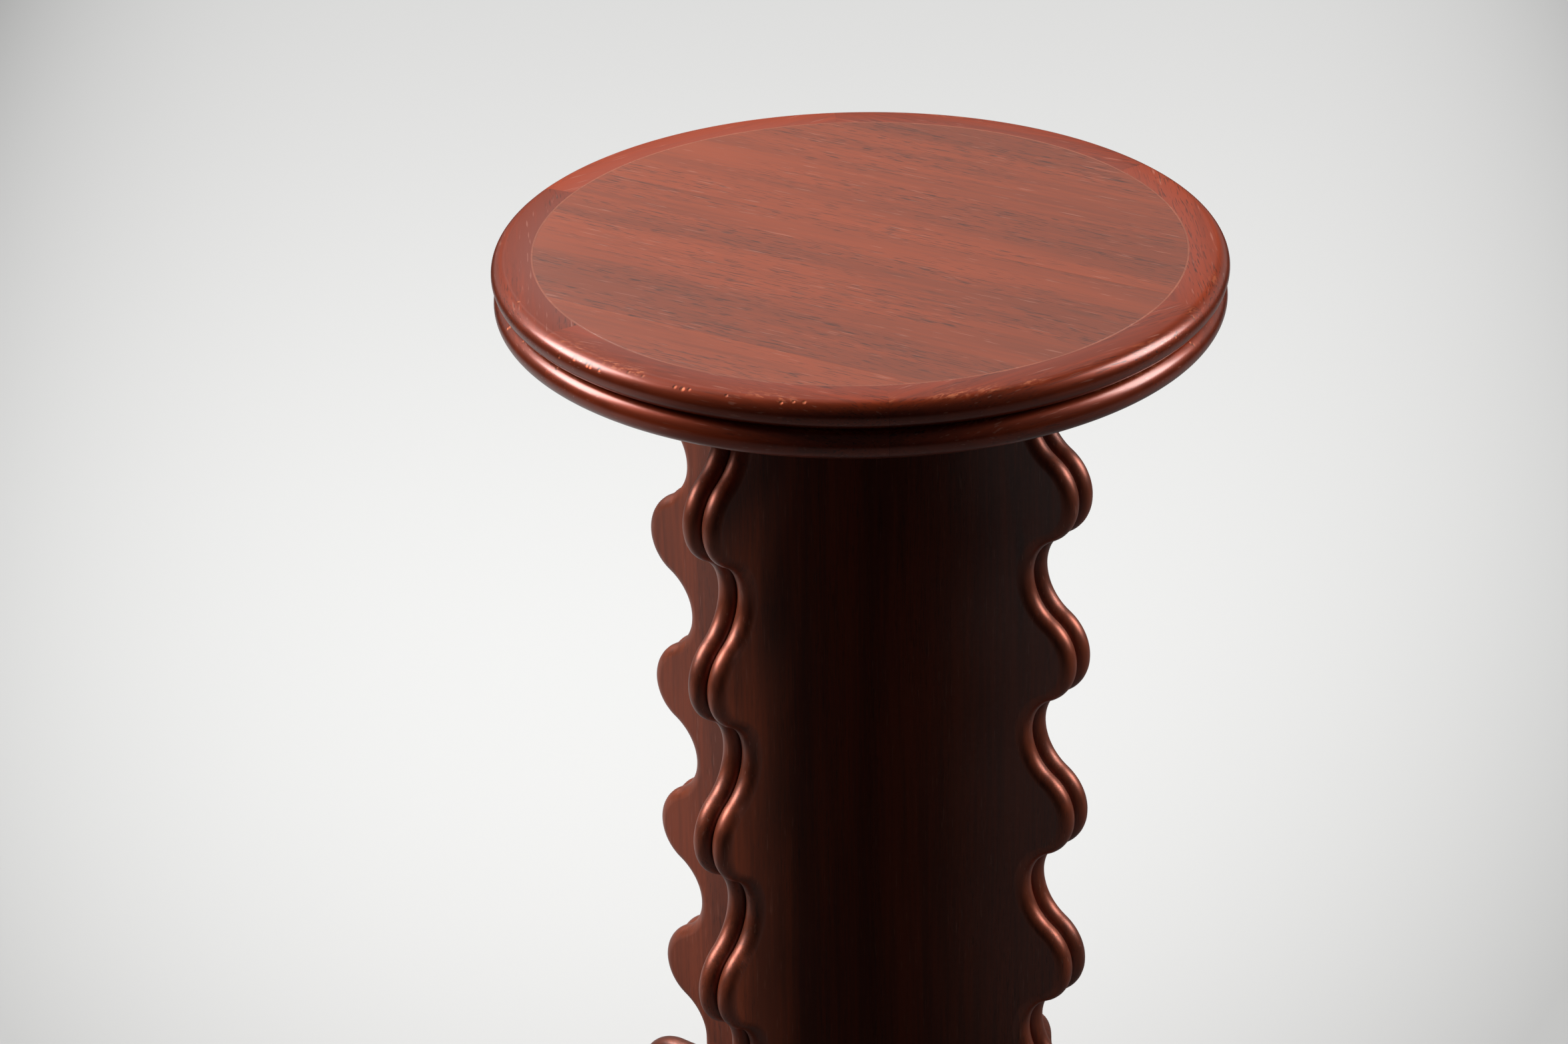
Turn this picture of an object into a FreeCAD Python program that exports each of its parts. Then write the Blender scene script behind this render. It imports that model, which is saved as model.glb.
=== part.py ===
"""Pedestal side table: a round moulded top on a column of four scalloped fins with bracket feet.

Lengths are millimetres and angles are degrees. +Z is up, and the origin is on the floor under the
middle of the top. The through fin lies along X, and the two wing fins are housed in its faces along Y.
"""
import FreeCAD
import Part

import math
import os
from dataclasses import dataclass

import Sketcher

Vector = FreeCAD.Vector

# Driving dimensions: name, value and meaning
SIZES = [
    ("table_height", 560.0, "floor to the upper face of the top"),
    ("top_radius", 160.0, "reach of the upper bead of the top"),
    ("top_thickness", 27.0, "thickness of the top"),
    ("upper_bead_radius", 6.5, "radius of the upper bead of the rim"),
    ("lower_bead_setback", 0.6, "how far the lower bead stays inside the upper one"),
    ("rim_width", 18.0, "edge of the top to the line of stringing"),
    ("rim_segments", 6, "curved pieces in the rim"),
    ("rim_turn", 10.6, "direction of the first joint of the rim"),
    ("stringing_width", 0.8, "width of the inlaid line"),
    ("stringing_depth", 2.5, "depth of the inlaid line"),
    ("spline_thickness", 6.0, "thickness of the loose tongue between field and rim"),
    ("spline_reach", 5.0, "how far the tongue enters each side"),
    ("spline_end_gap", 1.5, "angle left free between two tongues"),
    ("board_turn", 6.6, "direction of the boards of the field"),
    ("front_board_width", 32.0, "width of the narrow front board of the field"),
    ("middle_board_width", 126.0, "width of the middle board of the field"),
    ("fin_thickness", 21.0, "thickness of the fins and feet"),
    ("lobe_reach", 118.0, "axis to the crest of a lobe"),
    ("scallop_depth", 23.0, "crest of a lobe to the neck between lobes"),
    ("lobe_pitch", 79.0, "height of one lobe"),
    ("edge_cover", 7.75, "solid board kept inside the beads at a neck"),
    ("column_bottom", 28.0, "height of the lower end of the fins"),
    ("housing_depth", 4.0, "how deep a wing fin sits in the through fin"),
    ("foot_height", 113.5, "top of a foot, at the lowest neck"),
    ("neck_run", 10.5, "straight part of a foot's bead under the lowest neck"),
    ("cove_radius", 11.0, "hollow between the neck and the shoulder of a foot"),
    ("shoulder_run", 17.0, "level part of the shoulder of a foot"),
    ("ankle_radius", 20.0, "hollow between the knee and the toe of a foot"),
    ("ankle_sweep", 70.0, "angle of the hollow above the toe"),
    ("toe_radius", 14.0, "round of the toe"),
    ("arch_run", 32.0, "length of the arch under a foot"),
    ("pad_thickness", 3.0, "thickness of the felt pads"),
    ("pad_margin", 1.5, "wood left beside a felt pad"),
    ("wing_dowel_radius", 4.0, "dowels across the column"),
    ("wing_dowel_length", 60.0, "length of those dowels"),
    ("top_dowel_radius", 5.0, "dowels between the fins and the top"),
    ("top_dowel_length", 36.0, "length of those dowels"),
    ("top_dowel_inner", 35.0, "axis to the inner dowel of a fin"),
    ("top_dowel_outer", 75.0, "axis to the outer dowel of a fin"),
    ("foot_dowel_radius", 5.0, "dowels between the fins and the feet"),
    ("foot_dowel_length", 50.0, "length of those dowels"),
    ("foot_dowel_inset", 14.0, "dowel to the lower end of the fins, or to the shoulder's crease"),
    ("dowel_clearance", 0.1, "room round a dowel or a tongue"),
    ("dowel_end_gap", 1.0, "room for glue at the end of a dowel"),
    ("block_leg", 40.0, "side of a corner block along a fin"),
    ("block_nose", 6.0, "blunt end of a corner block"),
    ("block_height", 36.0, "height of a corner block"),
    ("screw_inset", 13.0, "block screw to the faces of the fins"),
    ("screw_radius", 2.0, "shank of a block screw"),
    ("screw_length", 50.0, "length of a block screw under its head"),
    ("screw_point", 5.0, "tapered end of a block screw"),
    ("screw_tip_radius", 0.2, "blunt tip of a block screw"),
    ("screw_head_radius", 4.5, "head of a block screw"),
    ("screw_head_height", 3.0, "height of that head"),
]

# Places and radii that follow from the driving dimensions
TOP_FACE = "Sizes.table_height"
UNDERSIDE = "(Sizes.table_height - Sizes.top_thickness)"
SEAM = "(Sizes.table_height - 2 * Sizes.upper_bead_radius)"
LOWER_BEAD_RADIUS = "(Sizes.top_thickness / 2 - Sizes.upper_bead_radius)"
STRINGING_RADIUS = "(Sizes.top_radius - Sizes.rim_width)"
SPLINE_MIDDLE = "(Sizes.table_height - Sizes.top_thickness / 2)"
BEAD = "(Sizes.fin_thickness / 4)"
HALF_THICKNESS = "(Sizes.fin_thickness / 2)"
HALF_PITCH = "(Sizes.lobe_pitch / 2)"
WAVE_RADIUS = f"(({HALF_PITCH}^2 + Sizes.scallop_depth^2) / (4 * Sizes.scallop_depth))"
NECK = "(Sizes.lobe_reach - Sizes.scallop_depth)"
NECK_CORE = f"({NECK} - {BEAD})"
BOARD_EDGE = f"({NECK_CORE} - Sizes.edge_cover)"
WHOLE_LOBES = "floor((Sizes.table_height - Sizes.top_thickness - Sizes.foot_height) / Sizes.lobe_pitch)"
FIRST_CREST = f"(Sizes.foot_height + {HALF_PITCH})"
KNEE_CENTRE_ACROSS = f"({NECK} + Sizes.cove_radius + Sizes.shoulder_run)"
COVE_HEIGHT = "(Sizes.foot_height - Sizes.neck_run)"
SHOULDER_CORE = f"({COVE_HEIGHT} - Sizes.cove_radius - {BEAD})"
KNEE_HEIGHT = f"({COVE_HEIGHT} - Sizes.cove_radius - {WAVE_RADIUS})"
ANKLE_CENTRE_ACROSS = f"({KNEE_CENTRE_ACROSS} + {WAVE_RADIUS} + Sizes.ankle_radius)"
ANKLE_TO_TOE = "(Sizes.ankle_radius + Sizes.toe_radius)"
TOE_CENTRE_ACROSS = f"({ANKLE_CENTRE_ACROSS} - {ANKLE_TO_TOE} * cos(Sizes.ankle_sweep))"
TOE_HEIGHT = f"({KNEE_HEIGHT} - {ANKLE_TO_TOE} * sin(Sizes.ankle_sweep))"
TOE_TIP = f"({TOE_CENTRE_ACROSS} + Sizes.toe_radius)"
ARCH_END = f"({BOARD_EDGE} + Sizes.arch_run)"
ARCH_RISE = "(Sizes.column_bottom - Sizes.pad_thickness)"
ARCH_RADIUS = f"((Sizes.arch_run^2 + {ARCH_RISE}^2) / (2 * {ARCH_RISE}))"
FOOT_DOWEL_PLACES = [("0", "(Sizes.column_bottom + Sizes.foot_dowel_inset)"),
                     ("0", f"({SHOULDER_CORE} - Sizes.foot_dowel_inset)")]
SCREW_PLACE = f"({HALF_THICKNESS} + Sizes.screw_inset)"
BLOCK_BOTTOM = f"({UNDERSIDE} - Sizes.block_height)"
RIM_COUNT = "round(Sizes.rim_segments)"
RIM_STEP = f"(360 / {RIM_COUNT})"
BEYOND = "(2 * Sizes.table_height)"

HALF_ROUND = "half round"
LEFT = 1
RIGHT = -1
TOUCHING = 1e-6
FIN_COUNT = 4

# Directions of the fins from the axis
FIN_TURNS = {"right": 0, "back": 90, "left": 180, "front": 270}


@dataclass(frozen=True)
class Corner:
    """One corner of an outline, and the edge that leaves it for the next corner.

    The edge is straight, or an arc whose radius is the expression bend. A half round stands on two
    corners with the same place across.
    """

    across: str
    up: str
    bend: str = ""
    turn: int = LEFT


def fill_sheet(doc):
    """Write the driving dimensions into a sheet, one named cell each."""
    sheet = doc.addObject("Spreadsheet::Sheet", "Sizes")
    for row, (name, value, meaning) in enumerate(SIZES, start=1):
        sheet.set(f"A{row}", meaning)
        sheet.set(f"B{row}", str(value))
        sheet.setAlias(f"B{row}", name)
    doc.recompute()
    return sheet


def number(feature, expression):
    """Give the present value of an expression."""
    return float(feature.evalExpression(expression))


def origin_part(body, role):
    """Find a plane or axis of a body's own origin."""
    return next(part for part in body.Origin.OriginFeatures if part.Role == role)


def new_body(doc, label, turn=""):
    """Start a sub-part, turned about the axis of the table by the given expression."""
    body = doc.addObject("PartDesign::Body", label)
    body.Label = label
    if turn:
        body.setExpression("Placement.Rotation.Angle", turn)
    return body


def new_sketch(body, plane, name, offset=""):
    """Start a sketch on one of the body's planes, moved along its normal by an expression."""
    sketch = body.newObject("Sketcher::SketchObject", f"{body.Name}_{name}")
    sketch.AttachmentSupport = (origin_part(body, plane), [""])
    sketch.MapMode = "FlatFace"
    if offset:
        sketch.setExpression("AttachmentOffset.Base.z", offset)
    return sketch


def hold(sketch, kind, geometry, point, expression, name):
    """Hold a point's distance from the sketch's origin at the value of an expression."""
    index = sketch.addConstraint(
        Sketcher.Constraint(kind, -1, 1, geometry, point, number(sketch, expression)))
    sketch.renameConstraint(index, name)
    sketch.setExpression(f"Constraints.{name}", expression)


def hold_radius(sketch, geometry, expression, name):
    """Hold the radius of a circle or an arc at the value of an expression."""
    index = sketch.addConstraint(Sketcher.Constraint("Radius", geometry, number(sketch, expression)))
    sketch.renameConstraint(index, name)
    sketch.setExpression(f"Constraints.{name}", expression)


def edge_between(sketch, corner, start, end):
    """Make the straight edge or the arc that leaves a corner."""
    if not corner.bend:
        return Part.LineSegment(start, end)
    chord = end - start
    half = chord.Length / 2
    radius = half if corner.bend == HALF_ROUND else number(sketch, corner.bend)
    rise = radius - math.sqrt(max(radius * radius - half * half, 0.0))
    outward = Vector(chord.y, -chord.x, 0).normalize() * corner.turn
    return Part.Arc(start, (start + end) * 0.5 + outward * rise, end)


def end_at(sketch, geometry, place):
    """Tell which end of an edge, 1 or 2, lies at a place."""
    return 1 if sketch.getPoint(geometry, 1).distanceToPoint(place) < TOUCHING else 2


def draw(sketch, corners, closed=True, prefix=""):
    """Draw an outline through its corners and hold every corner and radius."""
    places = [Vector(number(sketch, c.across), number(sketch, c.up), 0) for c in corners]
    starts = corners if closed else corners[:-1]
    edges = []
    for index, corner in enumerate(starts):
        following = places[(index + 1) % len(places)]
        edges.append(sketch.addGeometry(edge_between(sketch, corner, places[index], following), False))
    for index, corner in enumerate(starts):
        edge = edges[index]
        begin = end_at(sketch, edge, places[index])
        hold(sketch, "DistanceX", edge, begin, corner.across, f"{prefix}across{index}")
        hold(sketch, "DistanceY", edge, begin, corner.up, f"{prefix}up{index}")
        if corner.bend == HALF_ROUND:
            hold(sketch, "DistanceX", edge, 3, corner.across, f"{prefix}centre{index}")
        elif corner.bend:
            hold_radius(sketch, edge, corner.bend, f"{prefix}radius{index}")
        if closed or index + 1 < len(edges):
            neighbour = edges[(index + 1) % len(edges)]
            joined = end_at(sketch, neighbour, places[(index + 1) % len(places)])
            sketch.addConstraint(Sketcher.Constraint("Coincident", edge, 3 - begin, neighbour, joined))
        else:
            hold(sketch, "DistanceX", edge, 3 - begin, corners[-1].across, f"{prefix}across_end")
            hold(sketch, "DistanceY", edge, 3 - begin, corners[-1].up, f"{prefix}up_end")


def rectangle(low_across, high_across, low_up, high_up):
    """List the corners of a rectangle."""
    return [Corner(low_across, low_up), Corner(high_across, low_up),
            Corner(high_across, high_up), Corner(low_across, high_up)]


def draw_circles(sketch, centres, radius):
    """Draw equal circles about centres given as pairs of expressions."""
    for index, (across, up) in enumerate(centres):
        middle = Vector(number(sketch, across), number(sketch, up), 0)
        circle = sketch.addGeometry(Part.Circle(middle, Vector(0, 0, 1), number(sketch, radius)), False)
        hold(sketch, "DistanceX", circle, 3, across, f"across{index}")
        hold(sketch, "DistanceY", circle, 3, up, f"up{index}")
        hold_radius(sketch, circle, radius, f"radius{index}")


def pad(body, sketch, name, length, side="Symmetric"):
    """Thicken a sketch into solid."""
    feature = body.newObject("PartDesign::Pad", f"{body.Name}_{name}")
    feature.Profile = sketch
    feature.SideType = side
    feature.setExpression("Length", length)
    body.Document.recompute()
    return feature


def pocket(body, sketch, name, length):
    """Cut a sketch out of the body to both sides, and make sure that it has cut something."""
    before = body.Shape.Volume
    feature = body.newObject("PartDesign::Pocket", f"{body.Name}_{name}")
    feature.Profile = sketch
    feature.SideType = "Symmetric"
    feature.setExpression("Length", length)
    body.Document.recompute()
    if feature.Shape.Volume >= before:
        raise ValueError(f"{feature.Name} cuts nothing")
    return feature


def revolve(body, sketch, name, angle="360"):
    """Turn a sketch about the axis of the table, half the angle to each side."""
    feature = body.newObject("PartDesign::Revolution", f"{body.Name}_{name}")
    feature.Profile = sketch
    feature.ReferenceAxis = (sketch, ["V_Axis"])
    feature.Midplane = True
    feature.setExpression("Angle", angle)
    body.Document.recompute()
    return feature


def repeat_up(body, features, name, spacing, count):
    """Repeat features at equal heights."""
    pattern = body.newObject("PartDesign::LinearPattern", f"{body.Name}_{name}")
    pattern.Originals = features
    pattern.Direction = (origin_part(body, "Z_Axis"), [""])
    pattern.Mode = "Spacing"
    pattern.setExpression("Offset", spacing)
    pattern.setExpression("Occurrences", count)
    body.Tip = pattern
    body.Document.recompute()


def repeat_round(body, features, name, count):
    """Repeat features at equal angles round the axis of the table."""
    pattern = body.newObject("PartDesign::PolarPattern", f"{body.Name}_{name}")
    pattern.Originals = features
    pattern.Axis = (origin_part(body, "Z_Axis"), [""])
    pattern.Angle = 360
    pattern.setExpression("Occurrences", count)
    body.Tip = pattern
    body.Document.recompute()


def dowel_hole(radius):
    """Give the radius of the hole for a dowel."""
    return f"({radius} + Sizes.dowel_clearance)"


def dowel_room(length):
    """Give the length of the two holes that take a dowel."""
    return f"({length} + 2 * Sizes.dowel_end_gap)"


# The top

def rim_outline():
    """List the corners of the rim's section, from the inner lower edge round the two beads."""
    lower = f"(Sizes.top_radius - Sizes.lower_bead_setback - {LOWER_BEAD_RADIUS})"
    upper = "(Sizes.top_radius - Sizes.upper_bead_radius)"
    outer_line = f"({STRINGING_RADIUS} + Sizes.stringing_width / 2)"
    line_floor = "(Sizes.table_height - Sizes.stringing_depth)"
    groove = f"({STRINGING_RADIUS} + Sizes.spline_reach + Sizes.dowel_clearance)"
    half_groove = "(Sizes.spline_thickness / 2 + Sizes.dowel_clearance)"
    return [
        Corner(STRINGING_RADIUS, UNDERSIDE),
        Corner(lower, UNDERSIDE, HALF_ROUND),
        Corner(lower, SEAM),
        Corner(upper, SEAM, HALF_ROUND),
        Corner(upper, TOP_FACE),
        Corner(outer_line, TOP_FACE),
        Corner(outer_line, line_floor),
        Corner(STRINGING_RADIUS, line_floor),
        Corner(STRINGING_RADIUS, f"({SPLINE_MIDDLE} + {half_groove})"),
        Corner(groove, f"({SPLINE_MIDDLE} + {half_groove})"),
        Corner(groove, f"({SPLINE_MIDDLE} - {half_groove})"),
        Corner(STRINGING_RADIUS, f"({SPLINE_MIDDLE} - {half_groove})"),
    ]


def make_rim(doc, count):
    """Make the curved segments of the rim, with the double bead on their outer edge."""
    segments = []
    for index in range(count):
        turn = f"Sizes.rim_turn + {index + 0.5} * {RIM_STEP}"
        body = new_body(doc, f"rim_segment_{index + 1}", turn)
        section = new_sketch(body, "XZ_Plane", "section")
        draw(section, rim_outline())
        revolve(body, section, "sweep", RIM_STEP)
        segments.append(body)
    return segments


def make_splines(doc):
    """Make the loose tongues in the joint between the field and the rim, one to each segment."""
    body = new_body(doc, "rim_splines", f"Sizes.rim_turn + {RIM_STEP} / 2")
    section = new_sketch(body, "XZ_Plane", "section")
    draw(section, rectangle(f"({STRINGING_RADIUS} - Sizes.spline_reach)",
                            f"({STRINGING_RADIUS} + Sizes.spline_reach)",
                            f"({SPLINE_MIDDLE} - Sizes.spline_thickness / 2)",
                            f"({SPLINE_MIDDLE} + Sizes.spline_thickness / 2)"))
    tongue = revolve(body, section, "tongue", f"{RIM_STEP} - Sizes.spline_end_gap")
    repeat_round(body, [tongue], "tongues", RIM_COUNT)
    return body


def make_stringing(doc):
    """Make the thin pale line that is inlaid over the joint of field and rim."""
    body = new_body(doc, "stringing_ring")
    section = new_sketch(body, "XZ_Plane", "section")
    draw(section, rectangle(f"({STRINGING_RADIUS} - Sizes.stringing_width / 2)",
                            f"({STRINGING_RADIUS} + Sizes.stringing_width / 2)",
                            "(Sizes.table_height - Sizes.stringing_depth)", TOP_FACE))
    revolve(body, section, "ring")
    return body


def make_field(doc):
    """Make the round field of the top in one piece, with its edge groove and its holes."""
    body = new_body(doc, "field")
    inner_line = f"({STRINGING_RADIUS} - Sizes.stringing_width / 2)"
    line_floor = "(Sizes.table_height - Sizes.stringing_depth)"
    groove = f"({STRINGING_RADIUS} - Sizes.spline_reach - Sizes.dowel_clearance)"
    half_groove = "(Sizes.spline_thickness / 2 + Sizes.dowel_clearance)"
    section = new_sketch(body, "XZ_Plane", "section")
    draw(section, [
        Corner("0", UNDERSIDE),
        Corner(STRINGING_RADIUS, UNDERSIDE),
        Corner(STRINGING_RADIUS, f"({SPLINE_MIDDLE} - {half_groove})"),
        Corner(groove, f"({SPLINE_MIDDLE} - {half_groove})"),
        Corner(groove, f"({SPLINE_MIDDLE} + {half_groove})"),
        Corner(STRINGING_RADIUS, f"({SPLINE_MIDDLE} + {half_groove})"),
        Corner(STRINGING_RADIUS, line_floor),
        Corner(inner_line, line_floor),
        Corner(inner_line, TOP_FACE),
        Corner("0", TOP_FACE),
    ])
    revolve(body, section, "disc")
    dowels = new_sketch(body, "XY_Plane", "dowels", UNDERSIDE)
    draw_circles(dowels, [("Sizes.top_dowel_inner", "0"), ("Sizes.top_dowel_outer", "0")],
                 dowel_hole("Sizes.top_dowel_radius"))
    holes = pocket(body, dowels, "dowel_holes", dowel_room("Sizes.top_dowel_length"))
    repeat_round(body, [holes], "all_dowel_holes", str(FIN_COUNT))
    screws = new_sketch(body, "XY_Plane", "screws", UNDERSIDE)
    draw_circles(screws, [(SCREW_PLACE, SCREW_PLACE)], dowel_hole("Sizes.screw_radius"))
    depth = "2 * (Sizes.screw_length - Sizes.block_height + Sizes.dowel_end_gap)"
    holes = pocket(body, screws, "screw_holes", depth)
    repeat_round(body, [holes], "all_screw_holes", str(FIN_COUNT))
    return body


def make_boards(doc):
    """Divide the field along its two glue joints into three boards."""
    field = make_field(doc)
    front = f"(Sizes.front_board_width - {STRINGING_RADIUS})"
    back = f"({front} + Sizes.middle_board_width)"
    limits = {
        "top_board_front": (f"-{BEYOND}", front),
        "top_board_middle": (front, back),
        "top_board_back": (back, BEYOND),
    }
    boards = []
    for label, (low, high) in limits.items():
        strip = new_body(doc, f"{label}_strip", "Sizes.board_turn")
        outline = new_sketch(strip, "XY_Plane", "outline", SPLINE_MIDDLE)
        draw(outline, rectangle(f"-{BEYOND}", BEYOND, low, high))
        pad(strip, outline, "pad", "2 * Sizes.top_thickness")
        board = doc.addObject("Part::MultiCommon", label)
        board.Label = label
        board.Shapes = [field, strip]
        boards.append(board)
    return boards


# The column

def bead_section(body, name):
    """Sketch the double bead where it crosses a neck, with its back inside the board."""
    section = new_sketch(body, "XY_Plane", name, "Sizes.foot_height")
    back = f"({NECK_CORE} - Sizes.edge_cover / 2)"
    draw(section, [
        Corner(back, f"-{HALF_THICKNESS}"),
        Corner(NECK_CORE, f"-{HALF_THICKNESS}", HALF_ROUND),
        Corner(NECK_CORE, "0", HALF_ROUND),
        Corner(NECK_CORE, HALF_THICKNESS),
        Corner(back, HALF_THICKNESS),
    ])
    return section


def run_bead(body, name, corners):
    """Run the double bead along a path that starts at the lowest neck."""
    path = new_sketch(body, "XZ_Plane", f"{name}_path")
    draw(path, corners, closed=False)
    section = bead_section(body, f"{name}_section")
    body.Document.recompute()
    feature = body.newObject("PartDesign::AdditivePipe", f"{body.Name}_{name}")
    feature.Profile = section
    feature.Spine = (path, [f"Edge{index + 1}" for index in range(len(corners) - 1)])
    body.Document.recompute()
    return feature


def lobe_path():
    """List the corners of one lobe's bead line, from neck to neck: equal arcs that meet tangent."""
    share = f"(1 - {BEAD} / {WAVE_RADIUS})"
    flank = f"(Sizes.lobe_reach - {WAVE_RADIUS} + {share} * ({WAVE_RADIUS} - Sizes.scallop_depth / 2))"
    flank_rise = f"({share} * {HALF_PITCH} / 2)"
    hollow = f"({WAVE_RADIUS} + {BEAD})"
    crest = f"({WAVE_RADIUS} - {BEAD})"
    return [
        Corner(NECK_CORE, "Sizes.foot_height", hollow, RIGHT),
        Corner(flank, f"({FIRST_CREST} - {flank_rise})", crest, LEFT),
        Corner(flank, f"({FIRST_CREST} + {flank_rise})", hollow, RIGHT),
        Corner(NECK_CORE, "(Sizes.foot_height + Sizes.lobe_pitch)"),
    ]


def foot_dowel_holes(body):
    """Drill the joint between a fin and its foot for its two dowels."""
    sketch = new_sketch(body, "YZ_Plane", "foot_dowels", BOARD_EDGE)
    draw_circles(sketch, FOOT_DOWEL_PLACES, dowel_hole("Sizes.foot_dowel_radius"))
    pocket(body, sketch, "foot_dowel_holes", dowel_room("Sizes.foot_dowel_length"))


def make_fin(body, inner):
    """Build one fin out along X: a board, its lobes with the double bead, and its dowel holes."""
    plate = new_sketch(body, "XZ_Plane", "plate")
    draw(plate, rectangle(inner, BOARD_EDGE, "Sizes.column_bottom", UNDERSIDE))
    pad(body, plate, "board", "Sizes.fin_thickness")
    lobe = new_sketch(body, "XZ_Plane", "lobe")
    draw(lobe, lobe_path() + [Corner(BOARD_EDGE, "(Sizes.foot_height + Sizes.lobe_pitch)"),
                              Corner(BOARD_EDGE, "Sizes.foot_height")])
    swell = pad(body, lobe, "swell", "Sizes.fin_thickness")
    bead = run_bead(body, "bead", lobe_path())
    repeat_up(body, [swell, bead], "lobes", "Sizes.lobe_pitch", f"{WHOLE_LOBES} + 1")
    end = new_sketch(body, "XZ_Plane", "end")
    draw(end, rectangle("0", BEYOND, UNDERSIDE, BEYOND))
    pocket(body, end, "trim", "2 * Sizes.fin_thickness")
    foot_dowel_holes(body)
    top = new_sketch(body, "XY_Plane", "top_dowels", UNDERSIDE)
    draw_circles(top, [("Sizes.top_dowel_inner", "0"), ("Sizes.top_dowel_outer", "0")],
                 dowel_hole("Sizes.top_dowel_radius"))
    pocket(body, top, "top_dowel_holes", dowel_room("Sizes.top_dowel_length"))


def wing_dowel_holes(body, plane):
    """Drill for the dowels that cross the column, one at the height of each whole lobe."""
    sketch = new_sketch(body, plane, "wing_dowels")
    draw_circles(sketch, [("0", FIRST_CREST)], dowel_hole("Sizes.wing_dowel_radius"))
    hole = pocket(body, sketch, "wing_dowel_hole", dowel_room("Sizes.wing_dowel_length"))
    repeat_up(body, [hole], "wing_dowel_holes", "Sizes.lobe_pitch", WHOLE_LOBES)


def make_through_fin(doc):
    """Make the board that gives two opposite fins, with a housing in each face for a wing fin."""
    body = new_body(doc, "through_fin")
    make_fin(body, "0")
    mirror = body.newObject("PartDesign::Mirrored", "through_fin_mirror")
    mirror.TransformMode = "Whole shape"
    mirror.MirrorPlane = (origin_part(body, "YZ_Plane"), [""])
    body.Tip = mirror
    doc.recompute()
    housing = new_sketch(body, "XY_Plane", "housings")
    floor = f"({HALF_THICKNESS} - Sizes.housing_depth)"
    for prefix, sign in (("back_", ""), ("front_", "-")):
        draw(housing, rectangle(f"-{HALF_THICKNESS}", HALF_THICKNESS,
                                f"{sign}{floor}", f"{sign}Sizes.fin_thickness"), prefix=prefix)
    pocket(body, housing, "housing", f"2 * {BEYOND}")
    wing_dowel_holes(body, "XZ_Plane")
    return body


def make_wing_fin(doc, side):
    """Make a single fin whose inner edge sits in the housing of the through fin."""
    body = new_body(doc, f"wing_fin_{side}", str(FIN_TURNS[side]))
    make_fin(body, f"({HALF_THICKNESS} - Sizes.housing_depth)")
    wing_dowel_holes(body, "YZ_Plane")
    return body


def make_wing_dowels(doc):
    """Make the dowels that pass through the through fin into both wing fins."""
    body = new_body(doc, "wing_dowels")
    sketch = new_sketch(body, "XZ_Plane", "section")
    draw_circles(sketch, [("0", FIRST_CREST)], "Sizes.wing_dowel_radius")
    dowel = pad(body, sketch, "dowel", "Sizes.wing_dowel_length")
    repeat_up(body, [dowel], "dowels", "Sizes.lobe_pitch", WHOLE_LOBES)
    return body


def make_top_dowels(doc):
    """Make the dowels between the fins' upper ends and the top, two to each fin."""
    body = new_body(doc, "top_dowels")
    sketch = new_sketch(body, "XY_Plane", "section", UNDERSIDE)
    draw_circles(sketch, [("Sizes.top_dowel_inner", "0"), ("Sizes.top_dowel_outer", "0")],
                 "Sizes.top_dowel_radius")
    dowels = pad(body, sketch, "dowel", "Sizes.top_dowel_length")
    repeat_round(body, [dowels], "dowels", str(FIN_COUNT))
    return body


def make_corner_block(doc, index):
    """Make a glue block for the corner between two fins, drilled for its screw."""
    body = new_body(doc, f"corner_block_{index + 1}", f"{index} * 360 / {FIN_COUNT}")
    long_side = f"({HALF_THICKNESS} + Sizes.block_leg)"
    short_side = f"({HALF_THICKNESS} + Sizes.block_nose)"
    outline = new_sketch(body, "XY_Plane", "outline", BLOCK_BOTTOM)
    draw(outline, [
        Corner(HALF_THICKNESS, HALF_THICKNESS),
        Corner(long_side, HALF_THICKNESS),
        Corner(long_side, short_side),
        Corner(short_side, long_side),
        Corner(HALF_THICKNESS, long_side),
    ])
    pad(body, outline, "block", "Sizes.block_height", side="One side")
    hole = new_sketch(body, "XY_Plane", "hole", BLOCK_BOTTOM)
    draw_circles(hole, [(SCREW_PLACE, SCREW_PLACE)], dowel_hole("Sizes.screw_radius"))
    pocket(body, hole, "screw_hole", BEYOND)
    return body


def make_block_screws(doc):
    """Make the round-head screws that draw the top down onto the corner blocks."""
    body = new_body(doc, "block_screws")
    straight = "(Sizes.screw_length - Sizes.screw_point)"
    shank = new_sketch(body, "XY_Plane", "shank", BLOCK_BOTTOM)
    draw_circles(shank, [(SCREW_PLACE, SCREW_PLACE)], "Sizes.screw_radius")
    shank_pad = pad(body, shank, "shank_pad", straight, side="One side")
    head = new_sketch(body, "XY_Plane", "head", f"({BLOCK_BOTTOM} - Sizes.screw_head_height)")
    draw_circles(head, [(SCREW_PLACE, SCREW_PLACE)], "Sizes.screw_head_radius")
    head_pad = pad(body, head, "head_pad", "Sizes.screw_head_height", side="One side")
    point = new_sketch(body, "XY_Plane", "point", f"({BLOCK_BOTTOM} + {straight})")
    draw_circles(point, [(SCREW_PLACE, SCREW_PLACE)], "Sizes.screw_radius")
    point_pad = pad(body, point, "point_pad", "Sizes.screw_point", side="One side")
    narrowing = "(Sizes.screw_radius - Sizes.screw_tip_radius)"
    point_pad.setExpression("TaperAngle", f"-atan({narrowing} / Sizes.screw_point)")
    doc.recompute()
    repeat_round(body, [shank_pad, head_pad, point_pad], "screws", str(FIN_COUNT))
    return body


# The feet

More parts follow.
